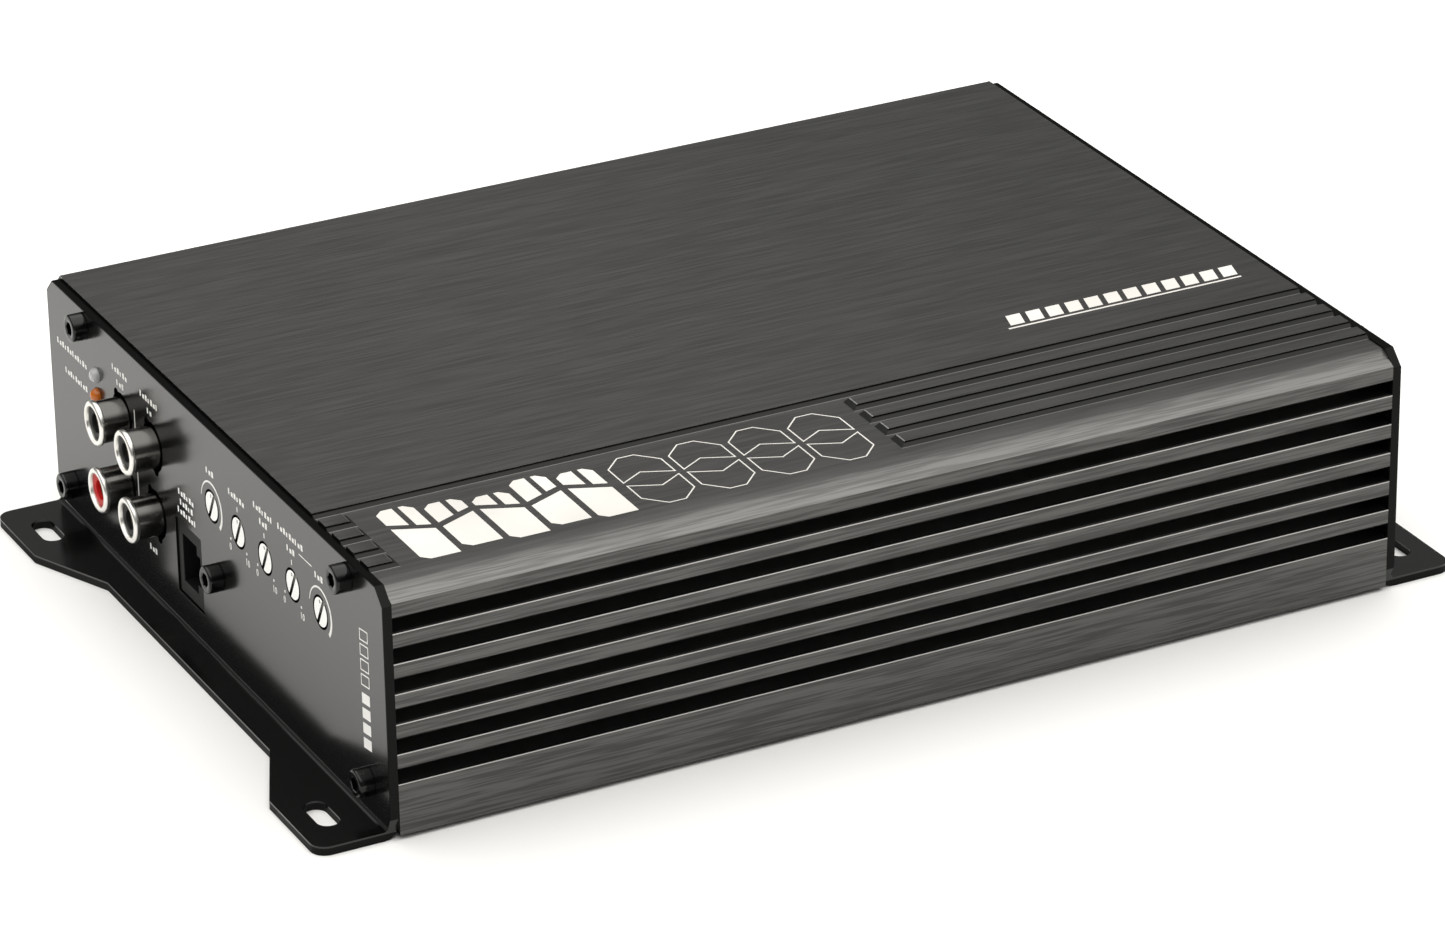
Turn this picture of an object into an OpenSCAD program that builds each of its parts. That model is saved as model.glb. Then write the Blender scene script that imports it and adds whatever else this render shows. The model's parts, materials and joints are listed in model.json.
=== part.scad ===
// Car audio amplifier: extruded finned housing, two bent end plates with mounting tabs,
// a control panel at the -X end and power, speaker and fuse terminals at the +X end.
// Origin: middle of the footprint, on the mounting surface. +X along the extrusion, +Z up.

/* [Overall] */
// Length over the outer faces of the two end plates
body_l = 211.2; // [200:0.2:280]
// Width across the two finned faces
body_w = 158; // [150:1:210]
// Height of the main top face above the mounting surface
body_h = 50.4; // [50:0.2:66]
// Gap between the mounting surface and the housing's underside
body_lift = 1.0; // [0.5:0.1:3]

/* [Housing] */
// Thickness of each finned side wall, fins included
wall_t = 12.5; // [11.5:0.5:16]
// Depth of the slots between the fins
slot_d = 7.5; // [4:0.5:7.5]
// Height of each slot
slot_h = 2.8; // [2:0.1:4]
// Distance from slot to slot
slot_pitch = 6.0; // [5:0.1:8]
// Height of the lowest slot's centre
slot_first_z = 12.7; // [11:0.1:16]
// Plain band between the top slot's centre and the top face
slot_top_band = 7.0; // [6.5:0.1:12]
// Bevel on the lower edge of each fin
fin_bevel = 0.4; // [0.1:0.1:0.8]
// Thickness of the top plate
top_t = 6.0; // [5:0.5:10]
// Width of the sloped edge along the front of the top
front_slope_w = 4.0; // [2:0.5:6]
// Drop of that sloped edge down the front face
front_slope_h = 3.2; // [2:0.1:5]
// Chamfer along the back of the top
back_chamfer = 2.8; // [1:0.1:4]

/* [Top ridges] */
// Number of raised ridges beside the front edge
ridge_n = 4; // [2:1:5]
// Distance from ridge to ridge
ridge_pitch = 6.1; // [5:0.1:8]
// Width of a ridge's flat top
ridge_w = 3.2; // [2:0.1:4]
// Distance from the front face to the first ridge's front edge
ridge_first_y = 9.8; // [8:0.1:14]
// Depth of the grooves between the ridges
groove_d = 0.9; // [0.5:0.1:1.5]
// Bare length of ridge left at the control end before the milled panel
pocket_inset = 6.4; // [4:0.2:20]
// Length of the milled panel, between the ridge ends
pocket_l = 103.4; // [60:0.2:150]

/* [End plates] */
// Thickness of the end plates and their tabs
plate_t = 1.8; // [1.2:0.1:2.5]
// Step from the main top face down to an end plate's top edge
plate_drop = 0.6; // [0.2:0.1:2]
// Chamfer on an end plate's two top corners
plate_corner = 3.0; // [1:0.5:6]
// Inside radius of the bend
bend_r = 1.0; // [0.5:0.1:2]
// How far a tab reaches beyond its end plate
tab_out = 14.1; // [12:0.1:20]
// Width of the strip between the two tabs
strip_out = 6.2; // [4:0.1:8]
// Full reach of a tab along the plate, measured from the plate's end
tab_reach = 21; // [19:0.5:30]
// Further length over which a tab slopes back to the strip
tab_slope = 18; // [10:0.5:24]
// Radius of the tabs' outer corners
tab_r = 3.0; // [1:0.5:5]
// Width of each mounting slot
tab_slot_w = 4.4; // [3.5:0.1:6]
// End-to-end length of each mounting slot
tab_slot_l = 10; // [8:0.5:14]
// Distance from the end plate's outer face to a slot's centre line
tab_slot_x = 7.8; // [6:0.1:12]
// Distance from the housing's side face to a slot's centre
tab_slot_y = 13; // [10:0.1:18]

/* [Fasteners] */
// Radius of the small machine screws' shanks
screw_r = 1.5; // [1.25:0.05:1.75]
// Radius of a screw's head
screw_head_r = 2.75; // [2.5:0.05:3.2]
// Height of a socket-cap head
screw_head_h = 3.0; // [2:0.1:3.5]
// Height of the low heads at the power end
low_head_h = 1.3; // [1.2:0.1:3]
// Length of thread engaged in the housing's ends
end_screw_l = 9; // [6:1:14]
// Height of the two lower end screws
end_screw_low_z = 8.4; // [8:0.1:10]
// Distance from the top face down to the two upper end screws
end_screw_top = 4.1; // [3.5:0.1:5]
// Distance from the side faces to the two lower end screws
end_screw_low_y = 8.9; // [8:0.1:10]
// Distance from the side faces to the two upper end screws, on average
end_screw_top_y = 17.1; // [12:0.1:24]
// Shift of the two upper end screws towards the front
end_screw_shift = 1.6; // [0:0.1:3]
// Height of the single screw in the middle of the control panel
mid_screw_z = 20.0; // [18:0.1:24]

/* [Bottom cover] */
// Thickness of the bottom cover
cover_t = 1.5; // [1:0.1:2.5]
// Width of the ledge under each wall that the cover screws to
cover_ledge = 6.0; // [5:0.5:8]
// Distance from the cover's end to its outer screws
cover_screw_x = 24; // [20:1:40]

/* [Control panel] */
// Distance from the back side face to the rear column of sockets
rca_back = 36.9; // [30:0.1:45]
// Distance between the two columns of sockets
rca_pitch_y = 15.0; // [14:0.1:17]
// Distance between the two rows of sockets
rca_pitch_z = 14.2; // [13:0.1:15]
// Height of the lower row of sockets
rca_low_z = 20.1; // [18:0.1:21]
// Radius of a socket's barrel
rca_r = 4.15; // [4:0.05:4.3]
// Radius of the rolled rim on a barrel
rca_rim_r = 4.5; // [4.4:0.05:4.8]
// How far a barrel stands out of the panel
rca_out = 6.2; // [4:0.1:9]
// Radius of the socket holes in the panel
rca_hole_r = 5.0; // [4.8:0.1:5.6]
// Distance from the back side face to the two indicator lamps
led_back = 24.4; // [20:0.1:30]
// Height of the upper lamp
led_high_z = 38.2; // [36:0.1:40]
// Distance between the two lamps
led_pitch = 4.3; // [4.1:0.1:6]
// Radius of a lamp
led_r = 1.5; // [1.4:0.1:1.8]
// Distance from the front side face to the nearest adjuster
pot_front = 27.8; // [24:0.1:34]
// Distance from adjuster to adjuster
pot_pitch = 12.45; // [11.5:0.05:13]
// Height of the adjusters
pot_z = 33.8; // [33:0.1:36]
// Radius of an adjuster's shaft
pot_shaft_r = 2.8; // [2.5:0.1:3.2]
// Radius of the adjuster holes in the panel
pot_hole_r = 3.3; // [3.3:0.1:4]
// Resting turn of an adjuster's screwdriver slot away from upright
pot_slot_turn = 28; // [0:1:60]
// Distance from the front column of sockets to the remote jack's centre
jack_gap = 15.85; // [15:0.05:20]
// Height of the remote jack's centre
jack_z = 16.1; // [16:0.1:18]
// Width of the remote jack's opening
jack_w = 12.5; // [12:0.1:14]
// Height of the remote jack's opening
jack_h = 15.8; // [15:0.1:16]

/* [Circuit boards] */
// Thickness of both circuit boards
board_t = 1.6; // [1.2:0.1:2]
// Height of the standoffs under the main board
standoff_h = 4.1; // [3:0.1:4.5]
// Distance from the control panel's inner face to the upright board
front_board_gap = 15; // [14:0.5:20]

/* [Power stage] */
// Number of transistors on each side wall
fet_n = 6; // [4:2:8]
// Distance from transistor to transistor
fet_pitch = 16; // [14:0.5:20]
// Outer radius of the supply transformer's ring
toroid_r = 23; // [18:0.5:24]
// Height of the supply transformer's ring
toroid_h = 20; // [14:0.5:24]
// Outer radius of the output coil's ring
coil_r = 18; // [14:0.5:20]
// Radius of a storage capacitor
cap_r = 9; // [6:0.5:10]
// Height of a storage capacitor
cap_h = 31.5; // [20:0.5:33]

/* [Terminals] */
// How far the terminal blocks stand out of the end plate
block_out = 9; // [8:0.5:12]
// Height of the terminal blocks' top face
block_top_z = 33; // [32:0.5:36]
// Height of the wire entries' centre
wire_z = 17.5; // [16:0.5:18]
// Radius of the two heavy power wire entries
power_wire_r = 3.5; // [3:0.1:4]
// Radius of the switching wire entry
remote_wire_r = 1.6; // [1.2:0.1:2]
// Radius of the speaker wire entries
speaker_wire_r = 2.6; // [2:0.1:3]
// Height of a lug's top face
lug_top_z = 26; // [25:0.5:28]

/* [Fuses] */
// Width of a blade fuse's body
fuse_w = 19.1; // [18:0.1:20]
// Thickness of a blade fuse's body
fuse_t = 5.1; // [4.5:0.1:5.5]
// Height of a blade fuse's body
fuse_body_h = 12.2; // [11:0.1:14]
// Length of a fuse's blades below its body
blade_l = 7.0; // [6:0.1:9]
// Distance between the two fuses
fuse_pitch = 9.5; // [8.5:0.5:11]

/* [Fits] */
// Running clearance around everything that turns or slides
run_gap = 0.06; // [0.03:0.01:0.1]
// Clearance between pieces that are fastened together
seat_gap = 0.15; // [0.1:0.01:0.3]

/* [Hidden] */
$fn = 48;
eps = 0.01;

// Housing
half_l = body_l / 2;
half_w = body_w / 2;
sink_half_l = half_l - plate_t;
cavity_half_w = half_w - wall_t;
ceiling_z = body_h - top_t;
slot_n = floor((body_h - slot_top_band - slot_first_z + eps) / slot_pitch) + 1;
groove_z = body_h - groove_d;
// Edge profile beside each groove: a fine drop, a narrow ledge, then a slope to the floor
edge_drop = groove_d / 3;
edge_ledge = 0.4;
edge_slope = 1.1;
edge_back = 0.3;
step_y = -half_w + ridge_first_y + ridge_n * ridge_pitch;
pocket_slope = 1.3;

// Bottom cover and boards
cover_top_z = body_lift + cover_t;
cover_half_w = cavity_half_w + cover_ledge;
cover_half_l = sink_half_l - seat_gap;
cover_screw_y = cover_half_w - cover_ledge / 2;
cover_screw_l = 6;
board_z = cover_top_z + standoff_h;
board_top_z = board_z + board_t;
board_half_w = cavity_half_w - 1;
board_half_l = sink_half_l - 2.3;
standoff_x = board_half_l - 6.5;
standoff_y = board_half_w - 7.5;
board_screw_head_h = 2;

// Control panel, counted from its corners
panel_x = -half_l;
panel_in_x = panel_x + plate_t;
front_board_x = panel_in_x + front_board_gap;
rca_rear_y = half_w - rca_back;
rca_front_y = rca_rear_y - rca_pitch_y;
rca_high_z = rca_low_z + rca_pitch_z;
led_y = half_w - led_back;
jack_y = rca_front_y - jack_gap;
mid_screw_y = jack_y - 14.55;
pot_last_y = -half_w + pot_front;
POT_Y = [for (i = [4:-1:0]) pot_last_y + i * pot_pitch];
RCA = [[rca_rear_y, rca_high_z], [rca_front_y, rca_high_z],
    [rca_front_y, rca_low_z], [rca_rear_y, rca_low_z]];
END_SCREWS = [[half_w - end_screw_top_y - end_screw_shift, body_h - end_screw_top],
    [-half_w + end_screw_top_y - end_screw_shift, body_h - end_screw_top],
    [half_w - end_screw_low_y, end_screw_low_z], [-half_w + end_screw_low_y, end_screw_low_z]];

// Socket block: the housing sits behind the panel, the barrels pass through it
rca_housing_gap = 1.0;
rca_housing_x = panel_in_x + rca_housing_gap;
rca_margin = 7.0;
rca_tip_x = panel_x - rca_out;
rca_wall = 0.7;
rca_flange_l = 1.1;
rca_contact_r = 1.66;
rca_contact_wall = 0.25;
rca_insulator_recess = 0.7;
rca_root = 3.0;

// Adjusters
pot_body_w = 9.6;
pot_body_d = 7.0;
pot_body_x = front_board_x - pot_body_d;
pot_cover_t = 0.6;
rotor_r = 3.9;
rotor_t = 2.4;
rotor_front = 1.6;
slot_cut_w = 0.9;
slot_cut_d = 1.3;

// Lamps
led_out = 1.5;
led_body_l = 5.3;
led_rim_r = led_r + 0.35;
led_rim_l = 1.0;
lead_w = 0.5;

// Remote jack, lying on its side
jack_half_w = jack_w / 2 - seat_gap;
jack_half_h = jack_h / 2 - seat_gap;
jack_recess = 0.4;
jack_mouth = [6.7, 9.9];
jack_latch = [1.6, 6.2];
jack_latch_tip = [1.0, 3.3];
jack_depth = 13;
jack_mouth_y = jack_y + 0.6;
jack_contact_n = 6;
jack_contact_pitch = 1.02;

// Transistors, pads and clamp bars, stacked off each wall
pad_t = 0.3;
tab_t = 1.3;
fet_t = 3.1;
bar_t = 3.0;
fet_w = 10;
fet_z = board_top_z + 4;
fet_h = 9.2;
fet_tab_h = 15.6;
bar_h = 8;
bar_z = fet_z + 0.6;
fet_first_x = -(fet_n - 1) / 2 * fet_pitch;
clamp_x = [for (i = [0:fet_n / 2 - 1]) fet_first_x + (2 * i + 0.5) * fet_pitch];
clamp_screw_in = 4.2;
clamp_head_h = 2;
row_l = (fet_n - 1) * fet_pitch + fet_w + 4;

// Wound parts and capacitors
toroid_x = 38;
toroid_y = -24;
coil_x = -12;
coil_y = 28;
ring_lift = 3.5;
wire_t = 2.2;
CAPS = [[-62, -24], [-62, -4], [-42, -24], [-42, -4], [-12, -30], [-12, -10]];

// Terminal blocks
block_in_x = half_l - 21;
block_x = half_l + block_out;
block_rib = 2.4;
lug_x = block_x - 1.2;
lug_in_x = block_in_x + 2.5;
lug_low_z = wire_z - power_wire_r - 2.0;
lug_side = 2.2;
set_screw_x = half_l + block_out - 5.2;
foot_t = 1.4;
stub_r = 1.0;
stub_l = 0.8;
set_screw_l = 5.5;
power_pitch = 16.5;
power_y = -half_w + 45;
speaker_y = half_w - 29;
speaker_pitch = 13;
// Each row: position across the plate, wire radius, set screw radius
TERMINALS = [[power_y - power_pitch, power_wire_r, 3.0], [power_y, remote_wire_r, 2.0],
    [power_y + power_pitch, power_wire_r, 3.0], [speaker_y + speaker_pitch / 2, speaker_wire_r, 2.5],
    [speaker_y - speaker_pitch / 2, speaker_wire_r, 2.5]];
power_block_half_w = power_pitch + TERMINALS[0][2] + lug_side + block_rib;
speaker_block_half_w = speaker_pitch / 2 + TERMINALS[3][2] + lug_side + block_rib;

// Fuses
fuse_y = half_w - 29 - speaker_block_half_w - 16.5;
FUSE_Z = [lug_low_z + 4.5, lug_low_z + 4.5 + fuse_pitch];
fuse_wall = 2.2;
fuse_gap = 0.35;
fuse_holder_x = half_l + 4;
fuse_seat_depth = 6.5;
fuse_seat_x = fuse_holder_x - fuse_seat_depth;
fuse_holder_in_x = half_l - 21;
blade_w = 5.2;
blade_t = 0.65;
blade_y = 6.8;
blade_slot_t = 1.6;
clip_t = 0.35;
fuse_low_z = FUSE_Z[0] - fuse_t / 2 - fuse_wall;
fuse_high_z = FUSE_Z[1] + fuse_t / 2 + fuse_wall;
fuse_half_w = fuse_w / 2 + fuse_wall;

// ---------------------------------------------------------------- helpers

// A cylinder along +X, starting at x
module rod_x(x, y, z, r, l) translate([x, y, z]) rotate([0, 90, 0]) cylinder(r = r, h = l);

// A ring along +X
module tube_x(x, y, z, r_out, r_in, l) difference() {
    rod_x(x, y, z, r_out, l);
    rod_x(x - eps, y, z, r_in, l + 2 * eps);
}

// A box given by its low corner and its high corner
module box(low, high) translate(low) cube(high - low);

// A Y-Z outline swept from x_from along +X
module sweep_x(x_from, l) translate([x_from, 0, 0]) rotate([90, 0, 90]) linear_extrude(l) children();

// A cap screw lying along X, head towards -X, with its head's underside at x
module cap_screw_x(x, y, z, shank_l, head_h = screw_head_h) difference() {
    union() {
        rod_x(x - head_h, y, z, screw_head_r, head_h);
        rod_x(x - 1, y, z, screw_r, shank_l + 1);
    }
    translate([x - head_h - eps, y, z]) rotate([0, 90, 0])
        cylinder(r = screw_r * 0.96, h = head_h * 0.6, $fn = 6);
}

// ---------------------------------------------------------------- housing

// One side face from the bottom up: slots with a bevel on the fin above each
function slot_side(side) = [for (i = [0:slot_n - 1]) let (c = slot_first_z + i * slot_pitch)
    each [[side * half_w, c - slot_h / 2], [side * (half_w - slot_d), c - slot_h / 2],
        [side * (half_w - slot_d), c + slot_h / 2], [side * (half_w - fin_bevel), c + slot_h / 2],
        [side * half_w, c + slot_h / 2 + fin_bevel]]];

// The edge that faces the front of a ridge or of the main top, floor first
function edge_up(y) = [[y - edge_slope, groove_z], [y - edge_ledge, body_h - edge_drop],
    [y, body_h - edge_drop], [y, body_h]];

function ridge_y(i) = -half_w + ridge_first_y + i * ridge_pitch;

function reverse(points) = [for (i = [len(points) - 1:-1:0]) points[i]];

function housing_outline() = concat(
    [[-half_w, body_lift]], slot_side(-1),
    [[-half_w, body_h - front_slope_h], [-half_w + front_slope_w, groove_z]],
    [for (i = [0:ridge_n - 1]) each concat(edge_up(ridge_y(i)),
        [[ridge_y(i) + ridge_w, body_h], [ridge_y(i) + ridge_w + edge_back, groove_z]])],
    edge_up(step_y),
    [[half_w - back_chamfer, body_h], [half_w, body_h - back_chamfer]],
    reverse(slot_side(1)),
    [[half_w, body_lift], [cover_half_w + seat_gap, body_lift],
        [cover_half_w + seat_gap, cover_top_z], [cavity_half_w, cover_top_z],
        [cavity_half_w, ceiling_z], [-cavity_half_w, ceiling_z], [-cavity_half_w, cover_top_z],
        [-cover_half_w - seat_gap, cover_top_z], [-cover_half_w - seat_gap, body_lift]]);

// The milled panel that clears the ridges along part of the front edge
module ridge_pocket() {
    low = panel_x + pocket_inset;
    high = low + pocket_l;
    translate([0, step_y - edge_slope, 0]) rotate([90, 0, 0])
        linear_extrude(step_y - edge_slope + half_w - front_slope_w / 2)
            polygon([[low + pocket_slope, groove_z], [high - pocket_slope, groove_z],
                [high, body_h], [high + 1, body_h + 1], [low - 1, body_h + 1], [low, body_h]]);
}

module heatsink() color("dimgray") difference() {
    sweep_x(-sink_half_l, 2 * sink_half_l) polygon(housing_outline());
    ridge_pocket();
    for (p = END_SCREWS, x = [-sink_half_l - eps, sink_half_l - end_screw_l - 2])
        rod_x(x, p[0], p[1], screw_r + 0.02, end_screw_l + 2 + eps);
    for (x = clamp_x, side = [-1, 1]) translate([x, side * (cavity_half_w - eps), bar_z + bar_h / 2])
        rotate([-90 * side, 0, 0]) cylinder(r = screw_r + 0.02, h = clamp_screw_in + 0.4);
    for (p = cover_screw_places()) translate([p[0], p[1], cover_top_z - eps])
        cylinder(r = screw_r + 0.02, h = cover_screw_l + 0.5);
}

// ---------------------------------------------------------------- bottom cover

function cover_screw_places() = [for (x = [-cover_half_l + cover_screw_x, 0,
    cover_half_l - cover_screw_x], side = [-1, 1]) [x, side * cover_screw_y]];

module bottom_cover() color("black") difference() {
    box([-cover_half_l, -cover_half_w, body_lift], [cover_half_l, cover_half_w, cover_top_z]);
    for (p = cover_screw_places()) translate([p[0], p[1], body_lift - eps])
        cylinder(r1 = screw_head_r + 0.1, r2 = screw_r + 0.1, h = cover_t + 2 * eps);
}

module bottom_cover_screws() color("darkgray") for (p = cover_screw_places())
    translate([p[0], p[1], body_lift]) difference() {
        union() {
            cylinder(r1 = screw_head_r, r2 = screw_r, h = cover_t);
            cylinder(r = screw_r, h = cover_t + cover_screw_l);
        }
        translate([0, 0, -eps]) cylinder(r = 1.1, h = 1.0, $fn = 6);
    }

// ---------------------------------------------------------------- end plates

// Outline of the foot seen from above: a strip with a tab at each end, outward along +X
module foot_outline() {
    end_y = half_w - 1;
    difference() {
        union() {
            translate([0, -end_y]) square([strip_out, 2 * end_y]);
            for (side = [0, 1]) mirror([0, side]) polygon(concat(
                [[0, end_y], [0, end_y - tab_reach - tab_slope],
                    [strip_out, end_y - tab_reach - tab_slope], [tab_out, end_y - tab_reach]],
                [for (a = [0:15:90]) [tab_out - tab_r + tab_r * cos(a),
                    end_y - tab_r + tab_r * sin(a)]]));
        }
        for (side = [-1, 1]) translate([tab_slot_x, side * (half_w - tab_slot_y)]) {
            square([tab_slot_w, tab_slot_l - tab_slot_w], center = true);
            for (end = [-1, 1]) translate([0, end * (tab_slot_l - tab_slot_w) / 2])
                circle(r = tab_slot_w / 2);
        }
    }
}

// Upright sheet, bend and foot of one plate, with its outer face at x = 0 and the foot along +X
module bent_plate() {
    plate_top = body_h - plate_drop;
    bend_out = bend_r + plate_t;
    sweep_x(-plate_t, plate_t) polygon([[-half_w + 1, bend_out], [half_w - 1, bend_out],
        [half_w, bend_out + 2], [half_w, plate_top - plate_corner],
        [half_w - plate_corner, plate_top], [-half_w + plate_corner, plate_top],
        [-half_w, plate_top - plate_corner], [-half_w, bend_out + 2]]);
    translate([bend_r, half_w - 1, bend_out]) rotate([90, 0, 0])
        linear_extrude(2 * (half_w - 1)) intersection() {
            difference() {
                circle(r = bend_out);
                circle(r = bend_r);
            }
            translate([-bend_out, -bend_out]) square(bend_out);
        }
    intersection() {
        linear_extrude(plate_t) foot_outline();
        box([bend_r, -half_w, -eps], [tab_out + 1, half_w, plate_t + 1]);
    }
}

module panel_openings() {
    for (p = RCA) {
        rod_x(panel_x - 1, p[0], p[1], rca_hole_r, plate_t + 2);
        for (key = [[2.4, 4.0], [-1.2, -4.5]])
            rod_x(panel_x - 1, p[0] + key[0], p[1] + key[1], 1.2, plate_t + 2);
    }
    for (y = POT_Y) rod_x(panel_x - 1, y, pot_z, pot_hole_r, plate_t + 2);
    for (z = [led_high_z, led_high_z - led_pitch])
        rod_x(panel_x - 1, led_y, z, led_r + 0.1, plate_t + 2);
    box([panel_x - 1, jack_y - jack_w / 2, jack_z - jack_h / 2],
        [panel_in_x + 1, jack_y + jack_w / 2, jack_z + jack_h / 2]);
    rod_x(panel_x - 1, mid_screw_y, mid_screw_z, screw_r + 0.2, plate_t + 2);
}

module input_end_plate() color([0.12, 0.12, 0.12]) difference() {
    translate([panel_x, 0, 0]) mirror([1, 0, 0]) bent_plate();
    panel_openings();
    for (p = END_SCREWS) rod_x(panel_x - 1, p[0], p[1], screw_r + 0.2, plate_t + 2);
}

module output_end_plate() color([0.12, 0.12, 0.12]) difference() {
    translate([half_l, 0, 0]) bent_plate();
    for (p = END_SCREWS) rod_x(half_l - plate_t - 1, p[0], p[1], screw_r + 0.2, plate_t + 2);
    for (b = [[power_y, power_block_half_w], [speaker_y, speaker_block_half_w]])
        box([half_l - plate_t - 1, b[0] - b[1] - seat_gap, board_top_z - seat_gap],
            [half_l + 1, b[0] + b[1] + seat_gap, block_top_z + seat_gap]);
    box([half_l - plate_t - 1, fuse_y - fuse_half_w - seat_gap, fuse_low_z - seat_gap],
        [half_l + 1, fuse_y + fuse_half_w + seat_gap, fuse_high_z + seat_gap]);
}

module end_plate_screws() color([0.15, 0.15, 0.15]) {
    for (p = END_SCREWS) {
        cap_screw_x(panel_x, p[0], p[1], plate_t + end_screw_l);
        mirror([1, 0, 0]) cap_screw_x(panel_x, p[0], p[1], plate_t + end_screw_l, low_head_h);
    }
    cap_screw_x(panel_x, mid_screw_y, mid_screw_z, plate_t + 5);
}

// ---------------------------------------------------------------- sockets

module rca_housing() color([0.08, 0.08, 0.08]) difference() {
    union() {
        box([rca_housing_x, rca_front_y - rca_margin, rca_low_z - rca_margin],
            [front_board_x, rca_rear_y + rca_margin, rca_high_z + rca_margin]);
        for (p = RCA) rod_x(rca_housing_x - 0.7, p[0], p[1], rca_hole_r - 0.15, 0.7 + eps);
    }
    for (p = RCA) {
        rod_x(rca_housing_x - 0.7 - eps, p[0], p[1], rca_r, rca_root + 0.7 + eps);
        rod_x(rca_housing_x, p[0], p[1], rca_contact_r + rca_contact_wall,
            front_board_x - rca_housing_x + eps);
    }
}

// Barrel with a rolled rim at its mouth
module rca_shells() color("silver") for (p = RCA) difference() {
    union() {
        rod_x(rca_tip_x, p[0], p[1], rca_r, rca_housing_x - rca_tip_x + rca_root - 0.7);
        translate([rca_tip_x, p[0], p[1]]) rotate([0, 90, 0]) rotate_extrude()
            polygon([[rca_r - rca_wall, 0], [rca_rim_r - 0.5, 0], [rca_rim_r, 0.4],
                [rca_rim_r, rca_flange_l - 0.2], [rca_r - 0.1, rca_flange_l],
                [rca_r - rca_wall, rca_flange_l]]);
    }
    rod_x(rca_tip_x - eps, p[0], p[1], rca_r - rca_wall,
        rca_housing_x - rca_tip_x + rca_root + 1);
}

module rca_insulator(p) {
    start = rca_tip_x + rca_insulator_recess;
    tube_x(start, p[0], p[1], rca_r - rca_wall, rca_contact_r + rca_contact_wall,
        rca_housing_x + rca_root - 0.7 - start);
}

module rca_black_insulators() color([0.1, 0.1, 0.1]) for (i = [0:2]) rca_insulator(RCA[i]);

module rca_red_insulator() color("firebrick") rca_insulator(RCA[3]);

// Spring tube that grips a plug's pin
module rca_center_contacts() color("goldenrod") for (p = RCA)
    tube_x(rca_tip_x + 1.6, p[0], p[1], rca_contact_r + rca_contact_wall, rca_contact_r,
        rca_housing_x + 6 - rca_tip_x - 1.6);

// ---------------------------------------------------------------- lamps

module lamp(z) {
    tip_x = panel_x - led_out;
    translate([tip_x + led_r, led_y, z]) rotate([0, 90, 0]) {
        cylinder(r = led_r, h = led_body_l - led_r);
        difference() {
            sphere(r = led_r);
            translate([0, 0, led_r]) cube(2 * led_r, center = true);
        }
    }
    rod_x(tip_x + led_body_l - led_rim_l, led_y, z, led_rim_r, led_rim_l);
}

module power_lamp() color("whitesmoke") lamp(led_high_z);

module protect_lamp() color("darkorange") lamp(led_high_z - led_pitch);

module lamp_leads() color("silver") for (z = [led_high_z, led_high_z - led_pitch], dy = [-1.27, 1.27])
    box([panel_x - led_out + led_body_l, led_y + dy - lead_w / 2, z - lead_w / 2],
        [front_board_x, led_y + dy + lead_w / 2, z + lead_w / 2]);

// ---------------------------------------------------------------- adjusters

module pot_bodies() color("steelblue") for (y = POT_Y) difference() {
    translate([pot_body_x, y - pot_body_w / 2, pot_z - pot_body_w / 2])
        cube([pot_body_d - pot_cover_t, pot_body_w, pot_body_w]);
    rod_x(pot_body_x - 1, y, pot_z, pot_shaft_r + run_gap, pot_body_d);
    rod_x(pot_body_x + rotor_front, y, pot_z, rotor_r + run_gap, pot_body_d);
}

module pot_back_covers() color("silver") for (y = POT_Y)
    translate([front_board_x - pot_cover_t, y - pot_body_w / 2, pot_z - pot_body_w / 2])
        cube([pot_cover_t, pot_body_w, pot_body_w]);

// Slotted shaft, flush with the panel, with its rotor inside the body
module pot_shaft(y) {
    rotor_x = pot_body_x + rotor_front + run_gap;
    translate([0, y, pot_z]) rotate([pot_slot_turn, 0, 0]) difference() {
        union() {
            rod_x(panel_x, 0, 0, pot_shaft_r, rotor_x - panel_x + eps);
            rod_x(rotor_x, 0, 0, rotor_r, rotor_t);
        }
        box([panel_x - 1, -slot_cut_w / 2, -pot_shaft_r - 1],
            [panel_x + slot_cut_d, slot_cut_w / 2, pot_shaft_r + 1]);
        rod_x(panel_x - 1, 1.15, 1.7, 0.35, 1.4);
    }
}

module gain_shaft() color("gainsboro") pot_shaft(POT_Y[0]);
module low_pass_shaft() color("gainsboro") pot_shaft(POT_Y[1]);
module subsonic_shaft() color("gainsboro") pot_shaft(POT_Y[2]);
module boost_frequency_shaft() color("gainsboro") pot_shaft(POT_Y[3]);
module boost_level_shaft() color("gainsboro") pot_shaft(POT_Y[4]);

// ---------------------------------------------------------------- remote jack

// Stepped mouth of the jack: plug space, latch space, latch tip
module jack_mouth_shape(x_from, x_to) {
    edge_y = jack_mouth_y - jack_mouth[0] / 2;
    box([x_from, edge_y, jack_z - jack_mouth[1] / 2],
        [x_to, jack_mouth_y + jack_mouth[0] / 2, jack_z + jack_mouth[1] / 2]);
    box([x_from, edge_y - jack_latch[0], jack_z - jack_latch[1] / 2],
        [x_to, edge_y + eps, jack_z + jack_latch[1] / 2]);
    box([x_from, edge_y - jack_latch[0] - jack_latch_tip[0], jack_z - jack_latch_tip[1] / 2],
        [x_to, edge_y - jack_latch[0] + eps, jack_z + jack_latch_tip[1] / 2]);
}

module remote_jack() color([0.05, 0.05, 0.05]) difference() {
    face_x = panel_x + jack_recess;
    box([face_x, jack_y - jack_half_w, jack_z - jack_half_h],
        [front_board_x, jack_y + jack_half_w, jack_z + jack_half_h]);
    jack_mouth_shape(face_x - 1, face_x + jack_depth);
}

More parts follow.
